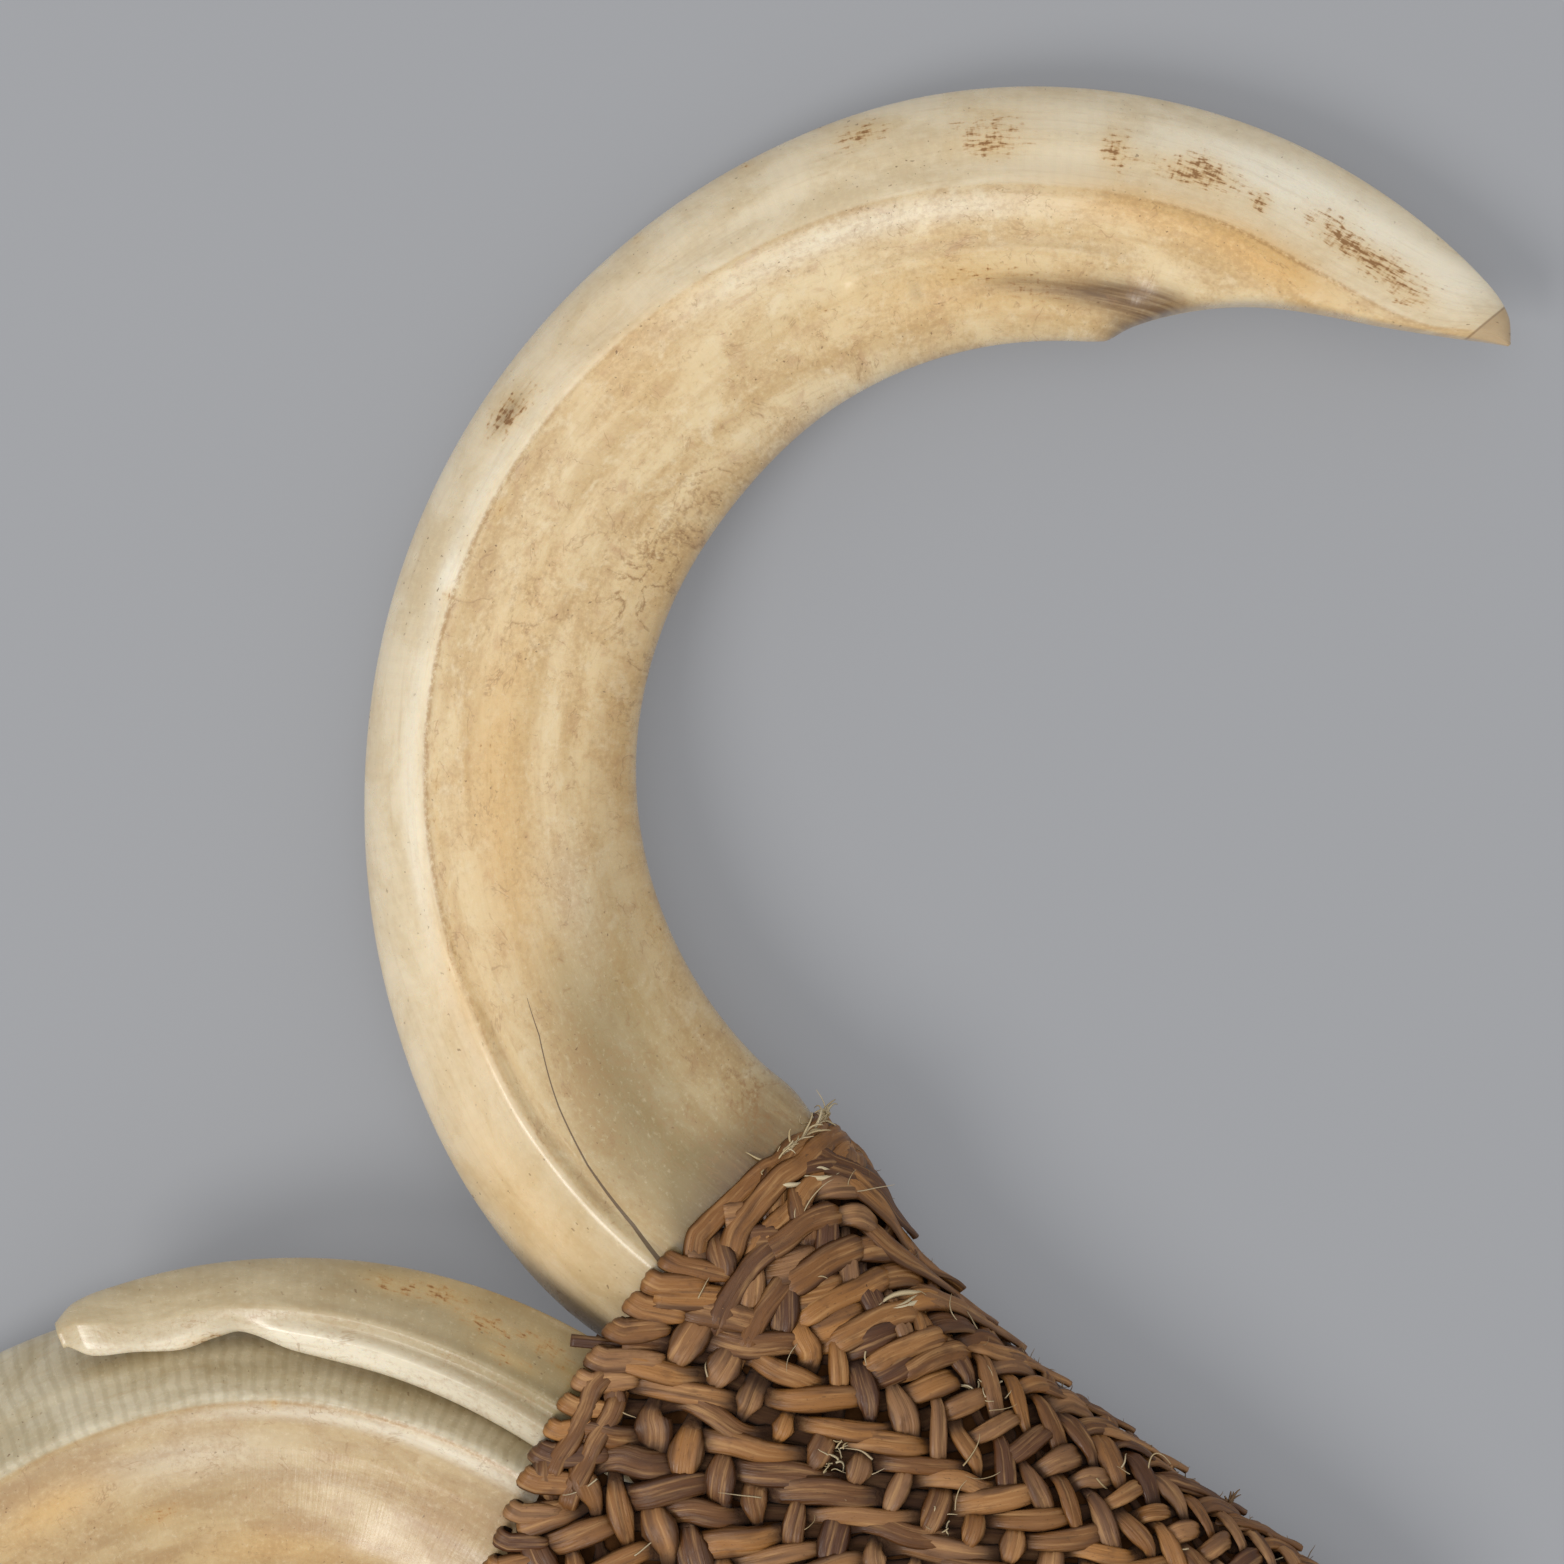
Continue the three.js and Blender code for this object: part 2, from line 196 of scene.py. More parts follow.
# Marks on the tusks by tone: degree, distance inside the ridge, half length, half width, strength
UPPER_MARKS = {
    "brown": [
        (103, -5.8, 2.6, 1.2, 0.9), (91, -4.3, 3.5, 2.4, 0.78), (91, -3.2, 1.6, 0.6, 0.5),
        (79, -3.7, 1.4, 2.3, 0.9), (71, -3, 4.2, 1.2, 1), (70, -4.4, 2.8, 1.1, 0.6),
        (64, -2.9, 1, 1.1, 0.9), (57, -4, 2.8, 1.6, 0.75), (53.5, -3, 2.8, 1.2, 0.75),
        (49.5, -3.1, 2.8, 1.8, 0.75), (46.5, -1.8, 1.8, 1.1, 0.75), (147, -2.9, 3, 1.4, 1),
        (86, 8.6, 6, 1.6, 0.6), (94, 7, 4, 0.8, 0.5), (114, -6.8, 0.5, 0.4, 0.9),
        (126, -6, 0.6, 0.4, 0.8), (205, 7.8, 0.3, 0.3, 1), (202, -0.1, 3.7, 0.6, 0.6),
        (166, -0.4, 0.7, 0.6, 0.8), (209, 16.5, 2.5, 1, 0.5), (153, 14.6, 3.7, 2, 0.4),
        # The brown mark at 233 degrees, on the outer edge beside the binding, is partly painted shade.
        (233, -8, 2.5, 1, 0.6), (182, 5.5, 5, 2.1, 0.35), (112, 7, 6, 0.6, 0.4),
        (240, 16, 1.2, 1, 0.5), (135, 4.7, 4.2, 3.3, 0.25), (187, 0.9, 5, 0.3, 0.5),
        (156, 0.8, 1, 0.5, 0.7),
    ],
    # The umber marks from 235 to 241 degrees darken the tusk's edges and face where it goes into the
    # binding: partly stain, partly painted shade.
    "umber": [
        (147, -2.9, 1.8, 0.6, 0.55), (239.5, 9, 2.6, 11, 0.42), (88, 8.1, 3.2, 0.8, 0.5),
        (80, 8.4, 3.8, 1.1, 0.75), (74, 8.2, 3, 1.4, 0.9), (69, 7.8, 2.4, 1.2, 0.8),
        (73, 10.9, 1.8, 1.2, 0.8), (70, 9.4, 1.6, 1, 0.6), (235, -7.6, 6, 1, 0.6),
        (236, 19.6, 4, 1, 0.6), (241, 8, 4, 9, 0.5),
    ],
    "honey": [
        (226, -4.5, 13, 3.5, 0.45), (178, 17, 26, 4.5, 0.45), (206, 6, 20, 6, 0.3),
        (74, 0.9, 9.1, 2.1, 0.8), (60, 1.1, 5.8, 1.8, 1), (96, 8.3, 10, 2.9, 0.4),
        (183, 6, 16.6, 2.5, 0.5), (207, -0.5, 7.5, 1.7, 0.4), (135, 0.9, 6.6, 5, 0.3),
    ],
    # The thin pale marks near the ridge at 104, 150 and 192 degrees are painted highlights.
    "pale": [
        (104, 1.7, 17, 1.2, 0.7), (58, -5.6, 16, 2, 0.7), (192, -1.2, 22, 0.8, 0.7),
        (150, -1.2, 14, 0.8, 0.4), (115, 16.1, 6.6, 2.5, 0.5), (164, -0.7, 1.9, 0.7, 1),
        (62, -5, 10, 2.5, 0.6), (45, -3.8, 5, 2.5, 0.5), (201, 11.2, 5, 2.5, 0.4),
    ],
    "olive": [
        (224, 9, 15, 9, 0.3), (230, 6.2, 7.5, 6.6, 0.6), (239, 7.2, 3.3, 3.3, 1),
        (215, 9, 7.5, 5, 0.5), (234, -5.6, 3.3, 2.5, 0.3), (240, 10, 4, 9, 0.7),
        (200, 13, 9, 3, 0.25),
    ],
    "vein": [
        (153, 14.2, 4.5, 2.6, 1), (160, 14, 3, 2, 0.9), (139, 13.5, 3, 2.5, 0.7),
        (166, 6, 4, 3, 0.5), (172, 17, 4, 1.6, 0.8), (236, 16, 3.5, 3, 0.9),
    ],
    "line": [(60, 0, 12, 4, 0.6), (190, 0, 18, 4, 0.5), (160, 0, 18, 4, 0.4)],
    "cap": [(38.6, -2, 2, 14, 1)],
}
LOWER_MARKS = {
    "brown": [
        (89, 0.3, 0.4, 0.4, 1), (105, 8.2, 2.5, 0.8, 0.7), (190, -4, 6, 1.5, 0.5),
        (206, -3.5, 4, 1.5, 0.5),
    ],
    "umber": [(40, 8, 2, 12, 0.5)],
    "honey": [(117, 4.2, 5, 1.7, 0.6), (88, 12.5, 8.3, 2.1, 0.4), (160, 6, 20, 3.5, 0.4)],
    "pale": [
        (66, 0.9, 9, 0.6, 0.7), (84, 0.9, 12, 0.5, 0.6), (99, 4.1, 8.3, 1.7, 0.4),
        (226, -4, 8, 2.5, 0.5),
    ],
    "olive": [(70, -4, 14, 2.4, 0.6), (100, -5, 14, 2.4, 0.4), (44, 8, 4, 9, 0.6)],
    "line": [(70, 0, 14, 4, 0.5)],
}
SMALL_MARKS = {
    "brown": [
        (81, -3.4, 2.6, 0.8, 0.78), (76, -4, 2.8, 0.9, 0.82), (71, -3.1, 2.8, 0.9, 0.82),
        (65, -3.7, 2.6, 0.9, 0.82), (60, -2.6, 2.6, 0.8, 0.78), (99, 2.5, 2.5, 0.5, 0.9),
        (68, -1.4, 2.8, 0.7, 0.7),
    ],
    "umber": [(48, 0, 2, 8, 0.5)],
    # The small tusk's pale marks are a painted highlight on the facet along its lower edge.
    "pale": [(106, 3, 7, 1.2, 1), (91, 2.6, 8, 1.2, 1), (76, 3, 8, 1.1, 1), (62, 3.3, 8, 1.1, 1)],
    "olive": [(60, -1, 12, 5, 0.8), (80, -3, 10, 3, 0.4)],
}

# The binding, as in the CAD source
BINDING_RIGHT = [
    (3.6, -27.4), (7.6, -31.9), (10, -37.2), (14.2, -42.1), (21.9, -48.6), (29.3, -54.1),
    (37.6, -60.2), (43.4, -64), (50.2, -69.6), (54.4, -76),
]
BINDING_LEFT = [
    (-27.6, -77.6), (-18.4, -82.2), (-5.2, -86.6), (9.8, -90), (24.6, -92), (37.6, -92.2),
    (47.4, -89.2), (53, -83.8),
]
MOUTH_BULGE = 5.4
BINDING_AXIS = np.array([0.755, -0.656])
BINDING_THICK = [(0, 10.2), (0.3, 10.2), (0.6, 9.5), (0.85, 7.7), (0.95, 5.9), (1, 3.9)]
BINDING_FULL = 2.5
BASE_FLAT = 0.88

# The plait. Runners cross the front almost level, and weavers cross them steeply. Each passes over
# two of the other and under two. A count is how many lie side by side once round the binding, and a
# climb is how many of its own lines each family passes between mouth and tail.
WEAVE_INSET = 1.12  # the plait's middle surface, inside the solid's
RUNNER_COUNT = 58
RUNNER_CLIMB = 25.75
WEAVER_COUNT = 14
WEAVER_CLIMB = 22.75
# Width of a strip, how much a float narrows towards its ends (0 to 1), the share of the width that
# it has near the right edge, and how light it is
RUNNER_FORM = (2.55, 0.42, 1.0, 1.0)
WEAVER_FORM = (2.8, 0.85, 0.9, 0.65)
CANE_THICK = 0.9
WEAVE_WAVE = 0.6  # how far a strip rises above or dips below the middle surface
RIGHT_LEAN = 0.13  # how far the plait is pushed towards the tail past the right edge
MIDDLE_LEAN = -0.03  # over the upper middle
LEFT_LEAN = 0.11  # and beyond it
MOUTH_END = 0.004
TAIL_END = 0.985
STRIP_STEP = 0.56  # mm between the sections of a strip
# How far a strip's two tints shift its texture, in mm, so that no two strips look alike
SHADE_SHIFT = 37
OTHER_SHIFT = 20
CORE_ROWS = 120
CORE_AROUND = 180
CORE_HEIGHT = -0.66  # where the dark core lies, from the plait's middle surface

# The rim. Places are (s, t) on the binding: s from mouth to tail, and t round it from the right edge
# over the upper side.
MOUTH_STRANDS = [(0.0, 0.5, 1.9), (0.022, 0.78, 2.1), (0.046, 0.55, 1.9)]  # s, height, width
STRANDS_END_T = 0.17  # where those strands turn into the plait
WRAP_STEP_T = 0.0185
WRAP_REACH = 0.046
TWIG_T = 0.222  # a broken twig end pokes out of the mouth there
# Two short strands that cross the mouth's: s, from t, to t
SHORT_STRANDS = [(0.012, 0.232, 0.315), (0.036, 0.24, 0.325)]
TAIL_START = 0.925  # the tail is wound from there on
TAIL_TURNS = 7
END_TURNS = 3  # the winding goes on over the tail's end to its middle
# Strands that overlap down the right edge: where each starts, its length, and its width in mm
EDGE_STRANDS = [
    (0.0, 0.172, 2.6), (0.03, 0.229, 2.5), (0.1, 0.22, 2.2), (0.2, 0.16, 2.0), (0.29, 0.14, 1.8),
    (0.38, 0.14, 1.7), (0.47, 0.13, 1.6), (0.56, 0.12, 1.5), (0.65, 0.11, 1.4), (0.74, 0.1, 1.3),
]
# Strips that cross the plait near the point of the mouth, rising to the right:
# from (s, t) to (s, t), and the width in mm
POINT_STRIPS = [
    (0.058, 0.124, 0.092, 0.05, 2.2), (0.1, 0.132, 0.146, 0.044, 2.3), (0.134, 0.136, 0.19, 0.04, 2.1),
    (0.176, 0.13, 0.242, 0.042, 2.2), (0.224, 0.122, 0.282, 0.046, 2.0), (0.26, 0.11, 0.31, 0.046, 1.9),
    (0.078, 0.185, 0.06, 0.092, 2.1), (0.114, 0.18, 0.1, 0.104, 2.0),
]
PILE_TOP = 19.6  # no strip or loose fibre rises past this
# Pale fibres that have split off: from (s, t) to (s, t), the bow in s, and the width in mm
PALE_STRANDS = [
    (0.186, 0.088, 0.234, 0.03, 0.012, 0.6), (0.19, 0.084, 0.234, 0.032, -0.008, 0.5),
    (0.192, 0.082, 0.23, 0.036, 0.002, 0.35), (0.026, 0.064, 0.058, 0.036, 0.01, 0.65),
    (0.034, 0.058, 0.052, 0.042, -0.006, 0.5), (0.012, 0.082, 0.034, 0.062, 0.006, 0.5),
]
LINT_SPOTS = [(0.248, 0.18), (0.375, 0.185), (0.345, 0.07)]  # pale lint caught in the plait, at (s, t)
# How many hairs each group of loose fibres has
HAIR_COUNTS = {"mouth": 54, "tuft": 8, "lint": 48, "edge": 110, "plait": 90}

TABLE_GAP = 0.06


def smoothstep(x, low, high):
    t = np.clip((x - low) / (high - low), 0, 1)
    return t * t * (3 - 2 * t)


def lerp(a, b, t):
    return a + (b - a) * t


def curve_through(points):
    """A smooth function through (x, value) points, the same one as in the CAD source."""
    xs = np.array([p[0] for p in points], float)
    ys = np.array([p[1] for p in points], float)
    before = np.maximum(np.arange(len(xs)) - 1, 0)
    after = np.minimum(np.arange(len(xs)) + 1, len(xs) - 1)
    slopes = (ys[after] - ys[before]) / (xs[after] - xs[before])

    def value(x):
        x = np.asarray(x, float)
        i = np.clip(np.searchsorted(xs, x, side="right") - 1, 0, len(xs) - 2)
        h = xs[i + 1] - xs[i]
        t = np.clip((x - xs[i]) / h, 0, 1)
        rise = ys[i + 1] - ys[i]
        bend0 = slopes[i] * h - rise
        bend1 = rise - slopes[i + 1] * h
        return ys[i] + rise * t + t * (1 - t) * (bend0 * (1 - t) + bend1 * t)

    return value


def smooth_noise(x, seed):
    """Smooth noise between -1 and 1 along x, with one feature per unit of x."""
    table = np.random.default_rng(seed).uniform(-1, 1, 512)
    i = np.floor(x).astype(int)
    t = x - i
    t = t * t * (3 - 2 * t)
    return lerp(table[i % 512], table[(i + 1) % 512], t)


def new_object(name, points_mm, faces, material, smooth=True):
    """A mesh object from points in plan millimetres."""
    points = np.array(points_mm, float)
    points[:, :2] += PLAN_SHIFT
    mesh = bpy.data.meshes.new(name)
    mesh.from_pydata((points * MM).tolist(), [], faces)
    mesh.polygons.foreach_set("use_smooth", [smooth] * len(mesh.polygons))
    mesh.materials.append(material)
    mesh.update()
    obj = bpy.data.objects.new(name, mesh)
    bpy.context.scene.collection.objects.link(obj)
    return obj


def add_attribute(obj, name, values):
    values = np.asarray(values, np.float32)
    if values.ndim == 1:
        made = obj.data.attributes.new(name, "FLOAT", "POINT")
        made.data.foreach_set("value", values)
    else:
        made = obj.data.attributes.new(name, "FLOAT_VECTOR", "POINT")
        made.data.foreach_set("vector", values.ravel())


def unit(vectors):
    return vectors / (np.linalg.norm(vectors, axis=-1, keepdims=True) + 1e-12)


def distance_along(line):
    """How far along a line each of its points lies."""
    return np.concatenate([[0], np.cumsum(np.linalg.norm(np.diff(line, axis=0), axis=1))])


def tube_quads(rows, around, first=0):
    """Quads that join rings of `around` points each, whose first point has the index `first`."""
    k = np.arange(around)
    after = (k + 1) % around
    start = (np.arange(rows - 1) * around)[:, None] + first
    quads = np.stack([start + k, start + after, start + around + after, start + around + k], axis=-1)
    return quads.reshape(-1, 4)


# Shader building


def tone(red, green, blue):
    """A colour given as the 0 to 255 values seen on a screen, as the linear colour Blender uses."""
    shares = [c / 255 for c in (red, green, blue)]
    linear = [c / 12.92 if c <= 0.04045 else ((c + 0.055) / 1.055) ** 2.4 for c in shares]
    return (*linear, 1.0)


class Shader:
    """A material with short calls that add nodes to it, and the colour that they build up."""

    def __init__(self, name, roughness=0.5, specular=0.5):
        self.material = bpy.data.materials.new(name)
        self.material.use_nodes = True
        self.nodes = self.material.node_tree.nodes
        self.links = self.material.node_tree.links
        self.surface = self.nodes["Principled BSDF"]
        self.colour = None
        self.fill(self.surface, {"Roughness": roughness, "Specular IOR Level": specular})

    def fill(self, node, inputs):
        """Gives each named input its plain value, or links the socket given for it."""
        for name, value in inputs.items():
            if isinstance(value, bpy.types.NodeSocket):
                self.links.new(value, node.inputs[name])
            else:
                node.inputs[name].default_value = value

    def add(self, kind, output, inputs, **settings):
        """Adds a node and returns one of its outputs."""
        node = self.nodes.new("ShaderNode" + kind)
        for name, value in settings.items():
            setattr(node, name, value)
        self.fill(node, inputs)
        return node.outputs[output]

    def number(self, name):
        return self.add("Attribute", "Fac", {}, attribute_name=name)

    def vector(self, name):
        return self.add("Attribute", "Vector", {}, attribute_name=name)

    def place(self):
        return self.add("TexCoord", "Object", {})

    def parts(self, vector):
        return self.add("SeparateXYZ", 0, {0: vector}).node.outputs

    def math(self, operation, a, b=0.0, clamp=False):
        return self.add("Math", 0, {0: a, 1: b}, operation=operation, use_clamp=clamp)

    def times(self, a, b):
        return self.math("MULTIPLY", a, b)

    def plus(self, a, b):
        return self.math("ADD", a, b)

    def minus(self, a, b):
        return self.math("SUBTRACT", a, b)

    def noise(self, vector, stretch, detail=2.0, rough=0.5, warp=0.0):
        """Noise with `stretch` features per unit along each axis of the vector."""
        where = self.add("VectorMath", 0, {0: vector, 1: stretch}, operation="MULTIPLY")
        inputs = {"Vector": where, "Scale": 1.0, "Detail": detail, "Roughness": rough, "Distortion": warp}
        return self.add("TexNoise", "Fac", inputs)

    def band(self, value, low, high, out_low=0.0, out_high=1.0):
        """Value rescaled from low..high to out_low..out_high, smoothly and within them."""
        inputs = {"Value": value, "From Min": low, "From Max": high, "To Min": out_low, "To Max": out_high}
        return self.add("MapRange", "Result", inputs, interpolation_type="SMOOTHSTEP")

    def mix(self, share, a, b):
        return self.add("Mix", "Result", {"Factor": share, "A": a, "B": b}, data_type="RGBA")

    def paint(self, share, red, green, blue):
        """Lays a tone over the colour so far."""
        self.colour = self.mix(share, self.colour, tone(red, green, blue))

    def bump(self, height, depth_mm, strength=1.0):
        inputs = {"Distance": depth_mm * MM, "Strength": strength, "Height": height}
        return self.add("Bump", "Normal", inputs)

    def finish(self, **inputs):
        self.fill(self.surface, {"Base Color": self.colour, **inputs})
        return self.material


TONES = ("brown", "honey", "olive", "pale", "umber", "line", "cap", "vein")


def tusk_material(name, enamel, dentine, crack, striation, patches):
    """Enamel outside the ridge and dentine inside it, with growth lines, stains and fine cracks, and marks
    that paint highlights and shade.

    The attribute `grain` holds millimetres along the tusk and from the ridge, and a number that is
    1 on the upper side. `crack` is a list of (along, from the ridge, half width) along one crack.
    `striation` is how strongly growth lines cross the enamel, and `patches` how strongly the
    dentine is mottled.
    """
    s = Shader(name, roughness=0.3)
    grain = s.vector("grain")
    along, off, _ = s.parts(grain)
    clouds = s.noise(grain, (0.12, 0.24, 4.0), detail=5.0, rough=0.62, warp=0.5)
    mottle = s.noise(grain, (0.4, 0.55, 4.0), detail=4.0, rough=0.6, warp=0.6)
    bands = s.noise(grain, (0.05, 0.42, 5.0), detail=3.0, warp=0.3)
    streaks = s.noise(grain, (0.12, 2.4, 5.0), detail=3.0, rough=0.6)
    rings = s.noise(grain, (2.3, 0.12, 3.0), detail=3.0, rough=0.65)
    grit = s.noise(grain, (1.7, 2.1, 6.0), detail=5.0, rough=0.72)
    dots = s.noise(grain, (2.4, 2.8, 6.0))
    dashes = s.noise(grain, (0.9, 3.4, 6.0), rough=0.6)
    bars = s.noise(grain, (2.6, 0.7, 6.0), rough=0.6)

    # Mottled dentine inside the ridge, and cloudy enamel with its growth lines outside it
    inside = s.band(off, -0.15, 0.25)
    enamel_tone = s.mix(s.band(clouds, 0.38, 0.64), tone(*enamel[0]), tone(*enamel[1]))
    s.colour = s.mix(s.band(clouds, 0.38, 0.62), tone(*dentine[0]), tone(*dentine[1]))
    s.paint(s.band(bands, 0.46, 0.64, 0, 0.5), *dentine[2])
    s.paint(s.band(mottle, 0.52, 0.74, 0, 0.55 * patches), 190, 152, 114)
    s.paint(s.band(mottle, 0.48, 0.3, 0, 0.6 * patches), 231, 213, 176)
    s.colour = s.mix(inside, enamel_tone, s.colour)
    turns = s.plus(s.times(along, 5.2), s.times(bands, 9.0))
    lines = s.times(s.band(s.math("SINE", turns), -0.3, 0.95), s.minus(1.0, inside))
    s.paint(s.times(lines, striation), 138, 122, 88)
    # Pale marks are partly paler ivory and partly painted highlights.
    for kind, shade in (("pale", (249, 240, 217)), ("honey", (222, 177, 108)), ("olive", (122, 103, 54))):
        s.paint(s.times(s.number(kind), 0.85), *shade)

    # Fine streaks and grain
    s.paint(s.band(streaks, 0.52, 0.72, 0, 0.14), 170, 134, 88)
    fine = s.band(s.plus(grit, s.times(clouds, 0.6)), 0.76, 0.98)
    s.paint(s.times(fine, s.band(inside, 0.0, 1.0, 0.1, 0.3)), 166, 126, 82)
    s.paint(s.band(grit, 0.46, 0.3, 0, 0.22), 238, 222, 188)

    # Brown marks in broken dashes on a golden halo, and umber stains; where the upper tusk goes into the
    # binding, some of the brown and umber is painted shade
    brown = s.number("brown")
    dirt_and_shade = s.times(brown, 0.95)
    for pattern, strength in ((dashes, 2.6), (bars, 1.4)):
        dirt_and_shade = s.plus(dirt_and_shade, s.times(s.minus(pattern, 0.5), strength))
    dirt_and_shade = s.times(s.band(dirt_and_shade, 0.5, 1.25), s.band(brown, 0.03, 0.3))
    s.paint(s.times(brown, 0.5), 216, 180, 116)
    s.paint(s.times(dirt_and_shade, 0.8), 172, 118, 50)
    s.paint(s.band(dirt_and_shade, 0.62, 1.0, 0, 0.55), 112, 70, 26)
    umber = s.times(s.number("umber"), s.band(streaks, 0.3, 0.6, 0.65, 1.0))
    s.paint(s.times(umber, 0.9), 98, 68, 38)

    # Stain has crept in along thin crooked lines.
    wander = s.noise(grain, (0.22, 0.32, 5.0), detail=4.0, rough=0.58, warp=0.7)
    off_line = s.math("ABSOLUTE", s.minus(wander, 0.5))
    faint = s.times(s.band(off_line, 0.014, 0.002), s.band(mottle, 0.48, 0.6, 0, 0.4))
    s.paint(s.times(faint, inside), 150, 112, 70)
    strong = s.times(s.band(off_line, 0.06, 0.0), s.number("vein"))
    strong = s.times(strong, s.band(grit, 0.4, 0.56))
    s.paint(s.times(strong, 0.7), 146, 104, 58)

    # The dotted line along the ridge, the cap at the tip, specks and the crack
    ridge_line = s.band(s.math("ABSOLUTE", s.minus(off, 0.1)), 0.34, 0.06)
    dotted = s.times(s.number("line"), s.band(grit, 0.36, 0.58))
    s.paint(s.times(ridge_line, dotted), 164, 120, 66)
    cap = s.number("cap")
    cap_tone = s.mix(mottle, tone(208, 182, 142), tone(174, 146, 108))
    s.paint(s.band(cap, 0.46, 0.52, 0, 0.7), 128, 92, 54)
    s.colour = s.mix(s.band(cap, 0.54, 0.58), s.colour, cap_tone)
    specks = s.times(s.band(dots, 0.67, 0.72), s.band(clouds, 0.42, 0.62))
    s.paint(s.times(specks, 0.7), 104, 70, 34)
    split = crack_mask(s, along, off, crack)
    s.paint(s.times(split, 0.85), 78, 54, 28)

    rough = s.plus(s.band(clouds, 0.35, 0.7, 0.24, 0.36), s.times(dirt_and_shade, 0.3))
    height = s.plus(s.plus(s.times(streaks, 0.3), s.times(rings, 0.4)), s.times(grit, 0.3))
    height = s.minus(s.minus(height, s.times(split, 1.6)), s.times(lines, striation))
    s.fill(s.surface, {
        "Subsurface Weight": 0.12, "Subsurface Radius": (1.0, 0.6, 0.3), "Subsurface Scale": 1.2 * MM,
        "Coat Weight": 0.2, "Coat Roughness": 0.17,
    })
    return s.finish(Roughness=rough, Normal=s.bump(height, 0.1, 0.5))


def crack_mask(s, along, off, crack):
    """1 on a thin line through the crack's points and 0 away from it."""
    total = 0.0
    for (a0, o0, w0), (a1, o1, w1) in zip(crack, crack[1:]):
        share = s.math("DIVIDE", s.minus(along, a0), a1 - a0)
        held = s.math("MULTIPLY", share, 1.0, clamp=True)
        line = s.plus(s.times(held, o1 - o0), o0)
        wide = s.plus(s.times(held, w1 - w0), w0)
        on_line = s.math("LESS_THAN", s.math("ABSOLUTE", s.minus(off, line)), wide)
        within = s.math("LESS_THAN", s.math("ABSOLUTE", s.minus(share, 0.5)), 0.5)
        total = s.math("MAXIMUM", total, s.times(on_line, within))
    return total


# Tusks


def face_height(x, shape):
    flat, round_ = shape
    return np.maximum(1 - np.power(np.maximum(x, 0), flat), 0) ** (1 / round_)


